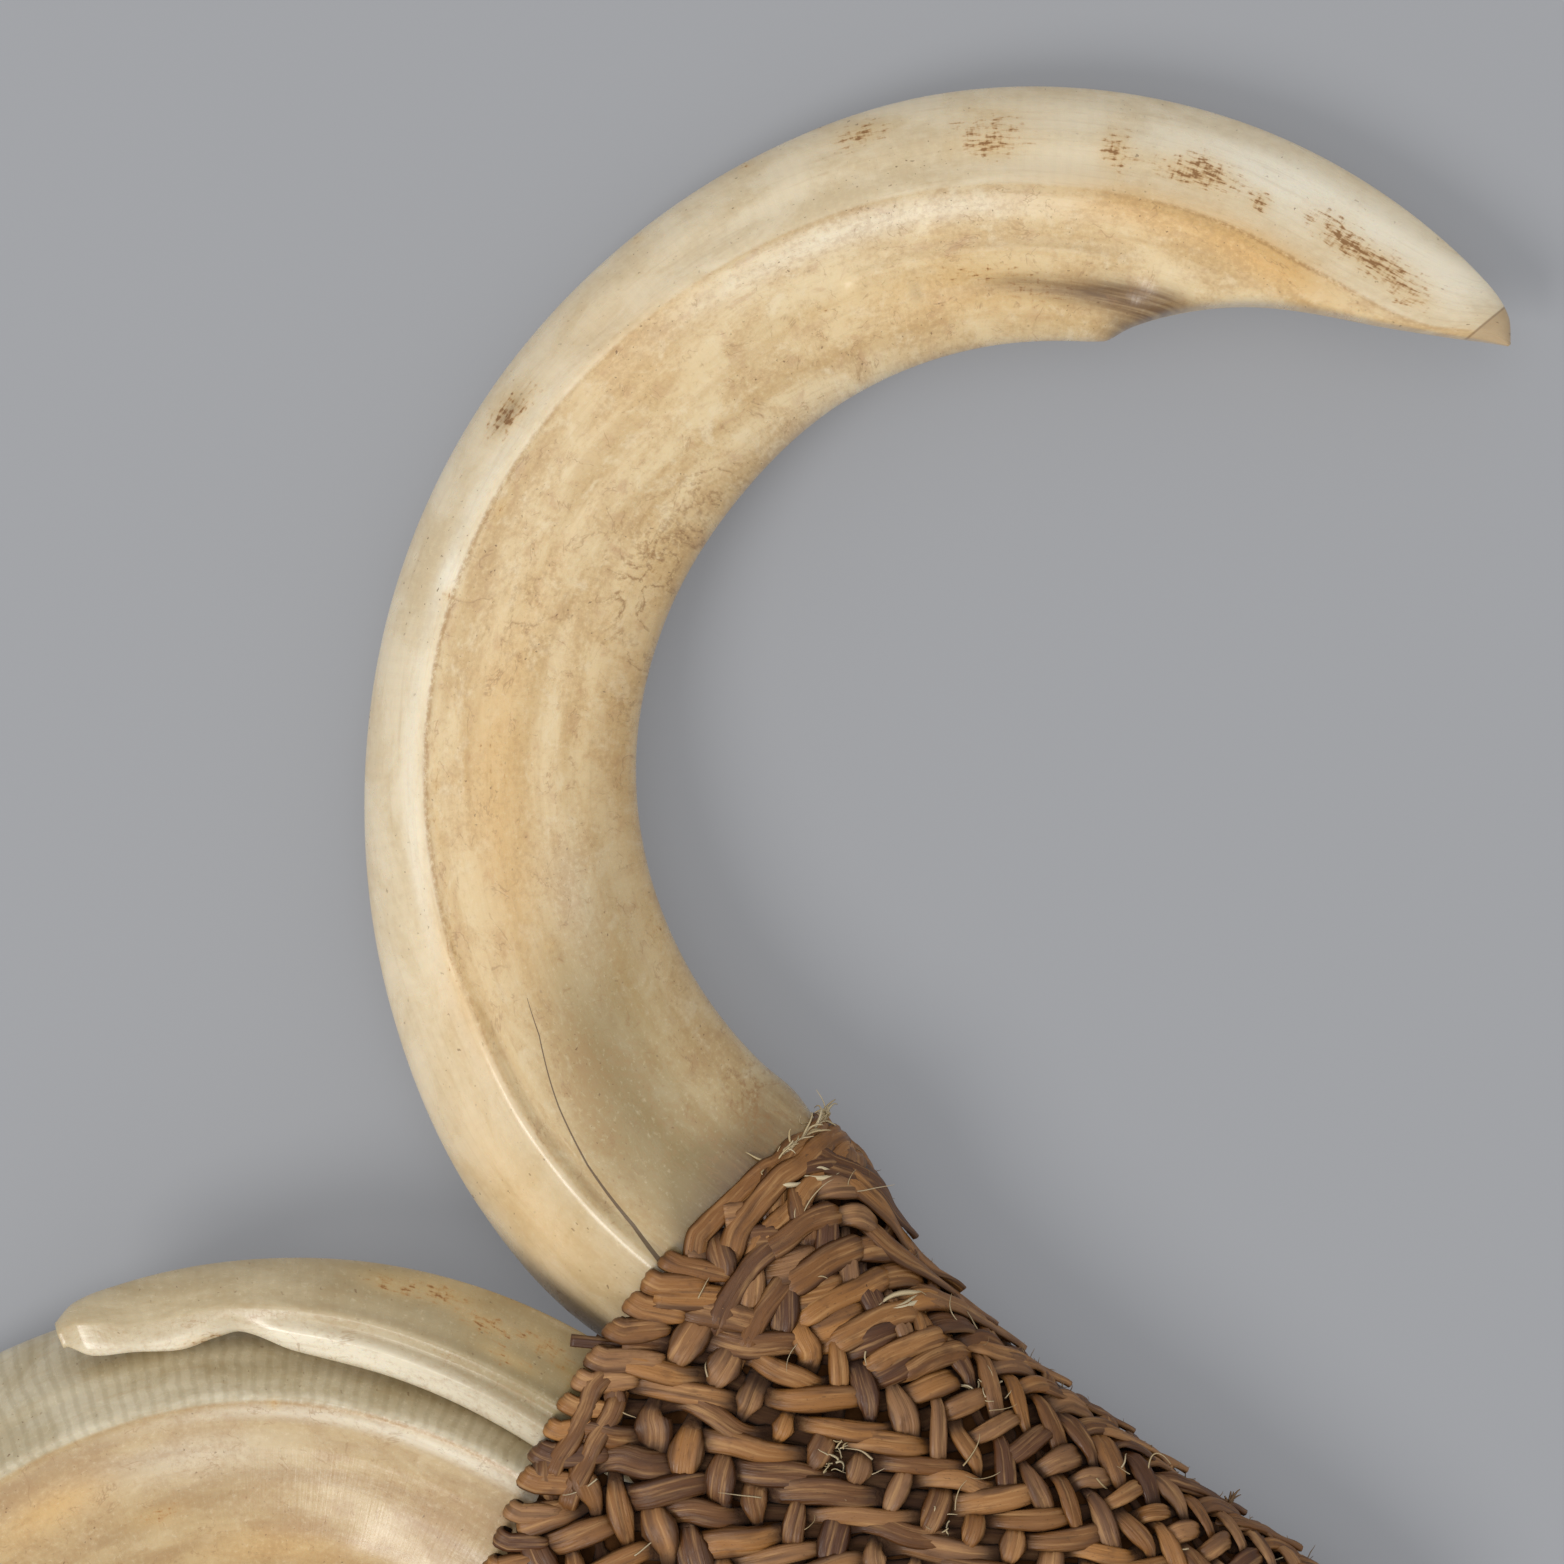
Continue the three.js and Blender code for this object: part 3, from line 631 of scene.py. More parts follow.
class Tusk:
    """The smooth surface of one tusk, as height over an angle and a share of its width."""

    def __init__(self, sizes, relief):
        self.sizes = sizes
        self.relief = relief
        self.curves = {
            name: curve_through(sizes[name]) for name in ("outer", "inner", "strip", "thick", "lift")
        }
        self.forward = int(np.sign(sizes["tip"] - sizes["root"]))
        outer = float(self.curves["outer"]((sizes["root"] + sizes["tip"]) / 2))
        self.mean_radius = outer - TUSK_HALF_WIDTH

    def run(self, deg):
        """Millimetres along the tusk from its root."""
        return np.abs(deg - self.sizes["root"]) * math.radians(self.mean_radius)

    def section(self, deg, across):
        """Radius, both heights and the distance inside the ridge, at degrees and shares of the width."""
        outer = self.curves["outer"](deg)
        inner = self.curves["inner"](deg)
        width = outer - inner
        half = self.curves["thick"](deg) / 2
        mid = np.maximum(self.curves["lift"](deg), 0) + half
        ridge = 1 - self.curves["strip"](deg) / width
        worn = smoothstep((deg - self.sizes["notch"]) * self.forward, 0, FACET_FADE_DEG)
        wide = (lerp(WIDE_FACE[0], WORN_FACE[0], worn), lerp(WIDE_FACE[1], WORN_FACE[1], worn))
        edge = mid + 2 * half * lerp(NOSE_DROP, SHOULDER_DROP, across)
        on_wide = face_height((ridge - across) / ridge, wide)
        on_strip = face_height((across - ridge) / (1 - ridge), STRIP_FACE)
        share = np.where(across < ridge, on_wide, on_strip)
        top = lerp(edge, mid + half * RIDGE_HEIGHT, share)
        on_nose = face_height((UNDER_RIDGE - across) / UNDER_RIDGE, wide)
        on_shoulder = face_height((across - UNDER_RIDGE) / (1 - UNDER_RIDGE), UNDER_FACE)
        share = np.where(across < UNDER_RIDGE, on_nose, on_shoulder)
        under = lerp(edge, mid - half, share)
        radius = inner + width * across
        off = outer - self.curves["strip"](deg) - radius
        return radius, top, under, off

    def raised(self, deg, off):
        """Height of the ribs and furrows."""
        total = np.zeros(np.broadcast(deg, off).shape)
        for start, end, off0, off1, wide, height in self.relief:
            share = np.clip((deg - start) / (end - start), 0, 1)
            middle = lerp(off0, off1, share)
            fade = smoothstep(share, 0.0, 0.06) * smoothstep(share, 1.0, 0.72)
            fade = fade * (np.abs((deg - start) / (end - start) - 0.5) <= 0.5)
            total += height * fade * np.exp(-(((off - middle) / wide) ** 2))
        return total

    def mesh(self, name, material, marks, seed):
        root, tip = self.sizes["root"], self.sizes["tip"]
        length = abs(math.radians(tip - root)) * (self.mean_radius + TUSK_HALF_WIDTH)
        even = np.linspace(0, 1, int(length / STATION_MM))
        deg = (root + (tip - root) * (even - END_GATHER * np.sin(2 * np.pi * even)))[:, None]
        across_top = (1 - np.cos(np.pi * np.arange(TOP_STEPS) / TOP_STEPS)) / 2
        across_under = (1 - np.cos(np.pi * np.arange(UNDER_STEPS, 0, -1) / UNDER_STEPS)) / 2
        across = np.concatenate([across_top, across_under])[None, :]
        on_top = np.concatenate([np.ones(TOP_STEPS), np.zeros(UNDER_STEPS)])[None, :]
        radius, top, under, off = self.section(deg, across)
        run = self.run(deg)

        # Ribs, furrows and a slight sway, which fade out at the edges and the tip
        edge_fade = smoothstep(across, 0.0, 0.05) * smoothstep(across, 1.0, 0.97)
        end_fade = smoothstep(np.abs(deg - tip), 0.5, 5.0)
        sway = smooth_noise(run / 9 + 3 * off / 20, seed) + 0.6 * smooth_noise(run / 4 - off / 4, seed + 1)
        flutes = smooth_noise(off * 0.9 + 0.3 * smooth_noise(run / 16, seed + 2), seed + 3)
        small = SURFACE_SWAY * (sway + 0.8 * flutes) * edge_fade * end_fade
        height = np.where(on_top > 0.5, top + (self.raised(deg, off) * end_fade + small), under)
        angle = np.radians(deg)
        x0, y0 = self.sizes["centre"]
        points = np.stack([x0 + radius * np.cos(angle), y0 + radius * np.sin(angle), height], axis=-1)

        shape = points.shape[:2]
        first = np.arange(shape[1])
        last = first + (shape[0] - 1) * shape[1]
        faces = tube_quads(*shape)[:, ::self.forward].tolist()
        faces += [first[::-self.forward].tolist(), last[::self.forward].tolist()]
        obj = new_object(name, points.reshape(-1, 3), faces, material)
        grain = np.stack([np.broadcast_to(run, shape), off, np.broadcast_to(on_top, shape)], axis=-1)
        add_attribute(obj, "grain", grain.reshape(-1, 3))
        for kind in TONES:
            total = np.zeros(shape)
            for m_deg, m_off, half_run, half_off, strength in marks.get(kind, ()):
                d_run = np.radians(deg - m_deg) * radius / half_run
                d_off = (off - m_off) / half_off
                total += strength * np.exp(-(d_run**2 + d_off**2)) * on_top
            add_attribute(obj, kind, np.clip(total, 0, 1).ravel())
        return obj


def make_tusk(node, sizes, relief, marks, seed, enamel, dentine, striation, patches, crack=()):
    """One tusk, in two tones of enamel and three of dentine."""
    tusk = Tusk(sizes, relief)
    crack = [(tusk.run(deg), off, wide) for deg, off, wide in crack]
    look = tusk_material(f"{node}_ivory", enamel, dentine, crack, striation, patches)
    obj = tusk.mesh(f"{node}_ivory", look, marks, seed)
    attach(obj, "root")
    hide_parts(node)


def make_tusks():
    make_tusk(
        "upper_tusk", UPPER_TUSK, UPPER_RELIEF, UPPER_MARKS, seed=11, striation=0.03, patches=1.0,
        enamel=[(232, 215, 182), (217, 196, 157)],
        dentine=[(226, 203, 159), (213, 184, 136), (194, 161, 108)], crack=UPPER_CRACK,
    )
    # The lower and small tusks' enamel is darker than the upper tusk's, partly as painted shade.
    make_tusk(
        "lower_tusk", LOWER_TUSK, LOWER_RELIEF, LOWER_MARKS, seed=23, striation=0.24, patches=0.3,
        enamel=[(206, 194, 166), (184, 170, 138)],
        dentine=[(194, 168, 124), (180, 150, 106), (160, 128, 88)],
    )
    make_tusk(
        "small_tusk", SMALL_TUSK, SMALL_RELIEF, SMALL_MARKS, seed=37, striation=0.06, patches=0.3,
        enamel=[(200, 182, 146), (182, 162, 124)],
        dentine=[(204, 188, 156), (188, 170, 134), (180, 160, 124)],
    )


# Binding


def edge_curve(points, shares):
    """Points at even shares of a curve's length, on the same spline as in the CAD source."""
    p = np.array(points, float)
    n = len(p)
    u = np.linspace(0, n - 1, 1201)
    i = np.minimum(np.floor(u).astype(int), n - 2)
    t = (u - i)[:, None]
    p0, p1 = p[np.maximum(i - 1, 0)], p[i]
    p2, p3 = p[i + 1], p[np.minimum(i + 2, n - 1)]
    v0, v1 = (p2 - p0) / 2, (p3 - p1) / 2
    line = (2 * p1 - 2 * p2 + v0 + v1) * t**3 + (-3 * p1 + 3 * p2 - 2 * v0 - v1) * t**2 + v0 * t + p1
    gone = distance_along(line)
    wanted = np.clip(shares, 0, 1) * gone[-1]
    return np.stack([np.interp(wanted, gone, line[:, k]) for k in (0, 1)], axis=-1)


class BindingSurface:
    """The binding's outline, drawn in by `inset`. s runs from mouth to tail and t goes round it."""

    ROWS = 240
    AROUND = 720

    def __init__(self, inset):
        s = np.linspace(0, 1, self.ROWS)
        right = edge_curve(BINDING_RIGHT, s)
        left = edge_curve(BINDING_LEFT, s)
        half = curve_through(BINDING_THICK)(s)
        grid = np.zeros((self.ROWS, self.AROUND, 3))
        turn = np.linspace(0, 2 * np.pi, 2881)
        power = 2 / BINDING_FULL
        across = np.sign(np.cos(turn)) * np.abs(np.cos(turn)) ** power
        up = np.sign(np.sin(turn)) * np.abs(np.sin(turn)) ** power
        for row in range(self.ROWS):
            half_width = np.linalg.norm(right[row] - left[row]) / 2
            steps = np.hypot(np.diff(across) * half_width, np.diff(up) * half[row])
            gone = np.concatenate([[0], np.cumsum(steps)])
            wanted = gone[-1] * np.arange(self.AROUND) / self.AROUND
            a = np.interp(wanted, gone, across)
            u = np.interp(wanted, gone, up)
            middle = left[row] + (right[row] - left[row]) * (0.5 + a * (1 - inset / half_width) / 2)[:, None]
            bulge = MOUTH_BULGE * (1 - a * a) * (1 - s[row]) ** 2
            plan = middle - BINDING_AXIS * bulge[:, None]
            z = half[row] * BASE_FLAT + (half[row] - inset) * u
            grid[row, :, :2] = plan
            grid[row, :, 2] = np.maximum(z, inset + TABLE_GAP)
        self.grid = grid
        along = np.gradient(grid, axis=0)
        around = np.roll(grid, -1, axis=1) - np.roll(grid, 1, axis=1)
        normal = unit(np.cross(around, along))
        centre = grid.mean(axis=1, keepdims=True)
        self.normal = normal if ((grid - centre) * normal).sum() > 0 else -normal

    def read(self, table, s, t):
        row = np.clip(s, 0, 1) * (self.ROWS - 1)
        col = (t % 1.0) * self.AROUND
        r0 = np.minimum(np.floor(row).astype(int), self.ROWS - 2)
        c0 = np.floor(col).astype(int) % self.AROUND
        c1 = (c0 + 1) % self.AROUND
        fr = (row - r0)[..., None]
        fc = (col - np.floor(col))[..., None]
        low = lerp(table[r0, c0], table[r0, c1], fc)
        high = lerp(table[r0 + 1, c0], table[r0 + 1, c1], fc)
        return lerp(low, high, fr)

    def place(self, s, t, height):
        """Points at a height above the surface, and the normals there."""
        normal = unit(self.read(self.normal, s, t))
        return self.read(self.grid, s, t) + normal * np.asarray(height)[..., None], normal

    def spot(self, s, t, height):
        """The same for one point."""
        point, normal = self.place(np.array([s]), np.array([t]), np.array([height]))
        return point[0], normal[0]

    def girth(self, s):
        """Length once round at share s."""
        row = np.clip(np.round(np.asarray(s) * (self.ROWS - 1)).astype(int), 0, self.ROWS - 1)
        loops = self.grid[row]
        return np.linalg.norm(np.roll(loops, -1, axis=-2) - loops, axis=-1).sum(axis=-1)


# A strip's section: across from -1 to 1, and height as a share of its thickness. Its top has two
# lengthwise ribs, as a bundle of fibres has.
STRIP_SECTION = np.array([
    (-1.0, -0.1), (-0.8, 0.6), (-0.42, 0.98), (-0.12, 0.7), (0.22, 1.0), (0.56, 0.74), (0.84, 0.5),
    (1.0, -0.1), (0.0, -0.6),
])
HAIR_SECTION = np.array([(-1.0, -0.5), (0.0, 1.0), (1.0, -0.5)])


class StripPile:
    """Collects cane strips and turns them into one mesh."""

    def __init__(self, section=STRIP_SECTION):
        self.section = section
        self.points = []
        self.faces = []
        self.strand = []
        self.tint = []
        self.count = 0

    def add(self, centre, normal, width, thick, roll, shade, other, raised=0.0):
        """One strip along `centre`, with its flat side along `normal`, turned by `roll` radians.

        Width, thickness, roll, the two tints and `raised`, which is 1 on top of the plait and -1
        under it, are each one number or one for each point.
        """
        n, m = len(centre), len(self.section)
        width, thick, roll, shade, other, raised = (
            np.broadcast_to(np.asarray(value, float), n)
            for value in (width, thick, roll, shade, other, raised)
        )
        tangent = unit(np.gradient(centre, axis=0))
        side = unit(np.cross(tangent, normal))
        upward = np.cross(side, tangent)
        cos, sin = np.cos(roll)[:, None, None], np.sin(roll)[:, None, None]
        side, upward = side[:, None], upward[:, None]
        across = self.section[:, 0] * (width / 2)[:, None]
        up = self.section[:, 1] * (thick / 2)[:, None]
        points = centre[:, None] + (side * cos + upward * sin) * across[..., None]
        points = points + (upward * cos - side * sin) * up[..., None]
        self.points.append(points.reshape(-1, 3))
        ring = np.arange(m) + self.count
        self.faces += tube_quads(n, m, self.count)[:, [0, 3, 2, 1]].tolist()
        self.faces += [ring.tolist(), (ring[::-1] + (n - 1) * m).tolist()]
        gone = distance_along(centre)[:, None] + SHADE_SHIFT * float(shade[0])
        strand = np.broadcast_arrays(gone, across, OTHER_SHIFT * other[:, None])
        self.strand.append(np.stack(strand, axis=-1).reshape(-1, 3))
        self.tint.append(np.repeat(np.stack([shade, other, raised], axis=-1), m, axis=0))
        self.count += n * m

    def finish(self, name, material):
        points = np.concatenate(self.points)
        points[:, 2] = np.clip(points[:, 2], TABLE_GAP / 2, PILE_TOP)
        obj = new_object(name, points, self.faces, material)
        add_attribute(obj, "strand", np.concatenate(self.strand))
        add_attribute(obj, "tint", np.concatenate(self.tint))
        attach(obj, "root")
        return obj


def weave_wave(phase):
    """From 1 over two crossings to -1 under two, over a period of 4, with steep changes between."""
    return np.tanh(1.6 * np.cos(np.pi / 2 * phase)) / math.tanh(1.6)


def plait_bend(t):
    """How far the plait is pushed towards the tail at t, as a share of the length.

    Near both edges of the upper side it makes the strips rise to the right.
    """
    t = t % 1.0
    right = RIGHT_LEAN * smoothstep(t, 0.015, 0.15)
    middle = MIDDLE_LEAN * smoothstep(t, 0.15, 0.24)
    left = LEFT_LEAN * smoothstep(t, 0.24, 0.44)
    under = (RIGHT_LEAN + MIDDLE_LEAN + LEFT_LEAN) * smoothstep(t, 0.5, 1.0)
    return right + middle + left - under


def add_woven(pile, surface, s, t, phase, form, seed):
    """One strip of the plait through the points (s, t), which are close together."""
    rng = np.random.default_rng(seed)
    width, pointed, at_edge, brightness = form
    near_edge = smoothstep(t % 1.0, 0.0, 0.04) * smoothstep(t % 1.0, 0.19, 0.12)
    width = width * lerp(1, at_edge, near_edge)
    bent = s + plait_bend(t)
    wave = weave_wave(phase)
    gone = np.arange(len(s)) * STRIP_STEP
    room = np.clip(1.12 * surface.girth(bent) / surface.girth(0.0), 0.3, 1.0)
    own_width = rng.uniform(0.86, 1.12)
    own_shade, own_other = rng.uniform(0.1, 0.9, 2)
    own_shade = own_shade * brightness
    # Each float, the stretch that lies on top, has its own height, width, ends, tilt, place and tone.
    number = np.floor((phase + 2) / 4).astype(int)
    in_float = phase - 4 * number
    each = rng.uniform(-1, 1, (9, number.max() - number.min() + 1))[:, number - number.min()]
    held = smoothstep(np.abs(in_float), 1.75, 0.95)
    tall, broad, _, tilt, slant, shift, twist, shade, other = each * held
    ends = each[2]
    height = WEAVE_WAVE * wave * (1 + 0.2 * tall) + 0.1 * smooth_noise(gone / 2.1, seed)
    late = pointed * np.where(ends > -0.1, 0.78, 0.2)
    early = pointed * np.where(ends > 0.5, 0.6, np.where(ends > -0.1, 0.2, 0.75))
    narrow = 1 - late * smoothstep(in_float, 0.15, -1.5)
    narrow = narrow * (1 - early * smoothstep(in_float, -0.15, 1.5))
    wide = width * own_width * room * narrow
    wide = wide * (1 + 0.08 * smooth_noise(gone / 7, seed + 1) + 0.18 * broad)
    thick = CANE_THICK * (1 + 0.16 * smooth_noise(gone / 6, seed + 2)) * np.sqrt(room)
    roll = 0.14 * smooth_noise(gone / 3.0, seed + 3) + 0.34 * tilt + 0.3 * twist * in_float
    sway = 0.24 * smooth_noise(gone / 3.2, seed + 4) + 0.24 * smooth_noise(gone / 11, seed + 5)
    sway = sway + 0.75 * slant * np.sin(np.pi / 2 * in_float) + 0.3 * shift
    drift = sway * room / surface.girth(bent)
    centre, normal = surface.place(bent, t + drift, height)
    shade = np.clip(own_shade + 0.55 * shade, 0, 1)
    other = np.clip(own_other + 0.5 * other, 0, 1)
    inside = (bent > MOUTH_END) & (bent < TAIL_END)
    breaks = np.flatnonzero(np.diff(inside.astype(int))) + 1
    for part in np.split(np.arange(len(s)), breaks):
        if inside[part[0]] and len(part) > 6:
            pile.add(
                centre[part], normal[part], wide[part], thick[part], roll[part], shade[part],
                other[part], wave[part],
            )


def make_weave(surface, cane):
    mouth_girth = float(surface.girth(0.0))
    length = np.linalg.norm(np.diff(surface.grid[:, surface.AROUND // 4], axis=0), axis=1).sum()
    first = -(RIGHT_LEAN + MIDDLE_LEAN + LEFT_LEAN)
    reach = 1 - first
    runners = StripPile()
    for i in range(RUNNER_COUNT):
        run = math.hypot(length, mouth_girth * RUNNER_CLIMB / RUNNER_COUNT) * reach
        s = np.linspace(first, 1, int(run / STRIP_STEP))
        t = (i - RUNNER_CLIMB * s) / RUNNER_COUNT
        crossing = WEAVER_CLIMB * s - WEAVER_COUNT * t
        phase = crossing - i - 0.5
        add_woven(runners, surface, s, t, phase, RUNNER_FORM, 1000 + 10 * i)
    runners_obj = runners.finish("cane_runners", cane)
    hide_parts("plaited_binding")
    weavers = StripPile()
    for k in range(WEAVER_COUNT):
        run = math.hypot(length, 0.8 * mouth_girth * WEAVER_CLIMB / WEAVER_COUNT) * reach
        s = np.linspace(first, 1, int(run / STRIP_STEP))
        t = (WEAVER_CLIMB * s - k) / WEAVER_COUNT
        crossing = RUNNER_CLIMB * s + RUNNER_COUNT * t
        phase = k - crossing - 2.5
        add_woven(weavers, surface, s, t, phase, WEAVER_FORM, 5000 + 10 * k)
    weavers.finish("cane_weavers", cane)


def make_core(surface, look):
    """The inside of the binding, just under the plait: a dark sheet of painted shade that shows through the
    plait's gaps.
    """
    rows = np.linspace(0.012, 0.995, CORE_ROWS)
    s, t = np.meshgrid(rows, np.arange(CORE_AROUND) / CORE_AROUND, indexing="ij")
    points, _ = surface.place(s.ravel(), t.ravel(), np.full(s.size, CORE_HEIGHT))
    points[:, 2] = np.maximum(points[:, 2], TABLE_GAP)
    faces = tube_quads(CORE_ROWS, CORE_AROUND)[:, [0, 3, 2, 1]].tolist()
    for row, way in ((0, 1), (CORE_ROWS - 1, -1)):
        ring = np.arange(CORE_AROUND) + row * CORE_AROUND
        pairs = np.stack([ring, np.roll(ring, -1)], axis=-1)[:, ::way].tolist()
        faces += [[len(points), *pair] for pair in pairs]
        points = np.vstack([points, points[ring].mean(axis=0)])
    obj = new_object("binding_core", points, faces, look)
    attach(obj, "root")


def add_laid(pile, surface, s, t, lift, width, seed, shade, other, thick=0.75):
    """A strand laid on the plait along (s, t), with small wanderings of its own."""
    n = np.arange(len(s)) * 0.12
    lift = lift + 0.1 * smooth_noise(n, seed)
    wide = width * (1 + 0.14 * smooth_noise(n * 0.8, seed + 1))
    roll = 0.22 * smooth_noise(n * 0.9, seed + 2)
    s = s + 0.0035 * smooth_noise(n * 0.7, seed + 3)
    centre, normal = surface.place(np.maximum(s, 0.0), t, lift)
    pile.add(centre, normal, wide, thick, roll, shade, other, 0.8)


def add_wrap(pile, surface, t_edge, lean, reach, width, seed):
    """A strip that comes out of the mouth, folds over its edge and ends in the plait."""
    rng = np.random.default_rng(seed)
    u = np.linspace(0, 1, 26)
    on_top = smoothstep(u, 0.3, 1.0)
    s = reach * on_top
    t = t_edge + lean * on_top
    lift = 0.72 - 2.6 * (1 - smoothstep(u, 0.0, 0.34)) - 1.1 * smoothstep(u, 0.86, 1.0)
    centre, normal = surface.place(s, t, lift)
    # Ahead of the edge the strip swings out of the mouth, and its face turns towards the tusks.
    ahead = smoothstep(u, 0.42, 0.12)
    out = np.array([*(-BINDING_AXIS), 0.0])
    centre = centre + out * (0.75 * np.sin(np.pi * np.clip(u / 0.44, 0, 1)))[:, None]
    normal = normal * (1 - ahead)[:, None] + out * ahead[:, None]
    wide = width * (0.5 + 0.5 * smoothstep(u, 1.0, 0.6)) * (0.75 + 0.25 * smoothstep(u, 0.0, 0.3))
    roll = 0.25 * rng.uniform(-1, 1)
    shade, other = rng.uniform(0, 1, 2)
    pile.add(centre, normal, wide, 0.7, roll, shade, other, lerp(-0.2, 0.9, smoothstep(u, 0.1, 0.4)))


def make_rim(surface, cane):
    """The strands and wraps that finish the mouth, and the wound end of the tail."""
    pile = StripPile()
    rng = np.random.default_rng(77)
    for n, (s0, lift, width) in enumerate(MOUTH_STRANDS):
        t = np.linspace(STRANDS_END_T - 0.012 * n, -0.5, 460)
        tucked = smoothstep(t, t[0] - 0.045, t[0])
        s = s0 + 0.03 * tucked + 0.004 * np.sin(2 * np.pi * (7 * t + n / 3))
        add_laid(pile, surface, s, t, lift - 1.5 * tucked**2, width, 70 + 10 * n, 0.4 + 0.2 * n, 0.3 * n)

    t_edge = STRANDS_END_T - 0.012
    while t_edge < 0.5:
        reach = WRAP_REACH * rng.uniform(0.7, 1.25)
        lean = rng.uniform(-0.028, -0.01)
        add_wrap(pile, surface, t_edge, lean, reach, rng.uniform(1.7, 2.4), 300 + int(1000 * t_edge))
        t_edge += WRAP_STEP_T * rng.uniform(0.85, 1.2)

    u = np.linspace(0, 1, 60)
    for n, (s0, t0, t1) in enumerate(SHORT_STRANDS):
        lift = 1.15 * smoothstep(u, 0, 0.12) * smoothstep(u, 1, 0.88) - 0.3
        add_laid(pile, surface, s0 + 0.004 * u, lerp(t0, t1, u), lift, 1.7, 160 + 10 * n, 0.3, 0.4)

    for n, (s0, run, width) in enumerate(EDGE_STRANDS):
        t = 0.04 - 0.05 * smoothstep(u, 0.1, 1.0) + 0.006 * rng.uniform(-1, 1)
        jut = 0.75 if n < 2 else 0.3  # the first two end in blunt tips that stick out
        lift = 1.2 * smoothstep(u, 0, 0.2) - 0.4 + jut * smoothstep(u, 0.7, 1.0)
        add_laid(pile, surface, s0 + run * u, t, lift, width, 200 + 10 * n, rng.uniform(), rng.uniform())

    u = np.linspace(0, 1, 40)
    ends = smoothstep(u, 0, 0.24) * smoothstep(u, 1, 0.76)
    for n, (s0, t0, s1, t1, width) in enumerate(POINT_STRIPS):
        s, t = lerp(s0, s1, u) - 0.006 * np.sin(np.pi * u), lerp(t0, t1, u)
        wide = width * (0.4 + 0.6 * ends)
        add_laid(pile, surface, s, t, 1.3 * ends - 0.5, wide, 400 + 10 * n, rng.uniform(), rng.uniform())

    start, _ = surface.spot(0.0, TWIG_T, -0.2)
    twig = start + np.outer(np.linspace(-1.5, 3.2, 14), [-0.99, 0.1, -0.05])
    pile.add(twig, np.tile([0.0, 0.0, 1.0], (14, 1)), 1.1, 1.0, 0.3, 0.0, 0.5, 0.4)

    turns = TAIL_TURNS + END_TURNS
    t = np.linspace(0, turns, 140 * turns)
    s = np.minimum(TAIL_START + (1 - TAIL_START) * t / TAIL_TURNS, 1.0)
    centre, normal = surface.place(s, t, np.full(len(t), 0.75))
    inward = np.clip((t - TAIL_TURNS) / END_TURNS, 0, 1)[:, None]
    middle = surface.place(np.ones(100), np.arange(100) / 100, np.zeros(100))[0].mean(axis=0)
    axis = np.array([*BINDING_AXIS, 0.0])
    centre = lerp(centre, middle, 0.94 * inward) + axis * 1.1 * np.sin(np.pi / 2 * inward)
    normal = lerp(normal, axis, np.clip(3 * inward, 0, 1))
    pile.add(centre, normal, 1.3, 0.9, 0.0, 0.5, 0.5, 0.6)
    pile.finish("cane_rim", cane)


def add_hair(pile, start, direction, length, width, seed, curl=0.5, shade=0.5):
    """A thin fibre from a point, bending a little on its way."""
    rng = np.random.default_rng(seed)
    steps = 12
    way = direction / np.linalg.norm(direction)
    turn = rng.normal(0, curl / steps, 3)
    points = [np.array(start, float)]
    for _ in range(steps):
        turn = turn + rng.normal(0, curl / steps, 3)
        way = way + turn
        way = way / np.linalg.norm(way)
        points.append(points[-1] + way * length / steps)
    centre = np.array(points)
    centre[:, 2] = np.minimum(centre[:, 2], PILE_TOP - 0.1)
    up = np.tile([0.0, 0.0, 1.0], (len(centre), 1))
    taper = width * (1 - 0.7 * np.linspace(0, 1, len(centre)) ** 2)
    pile.add(centre, up, taper, taper, 0.0, shade, rng.uniform(), 1.0)


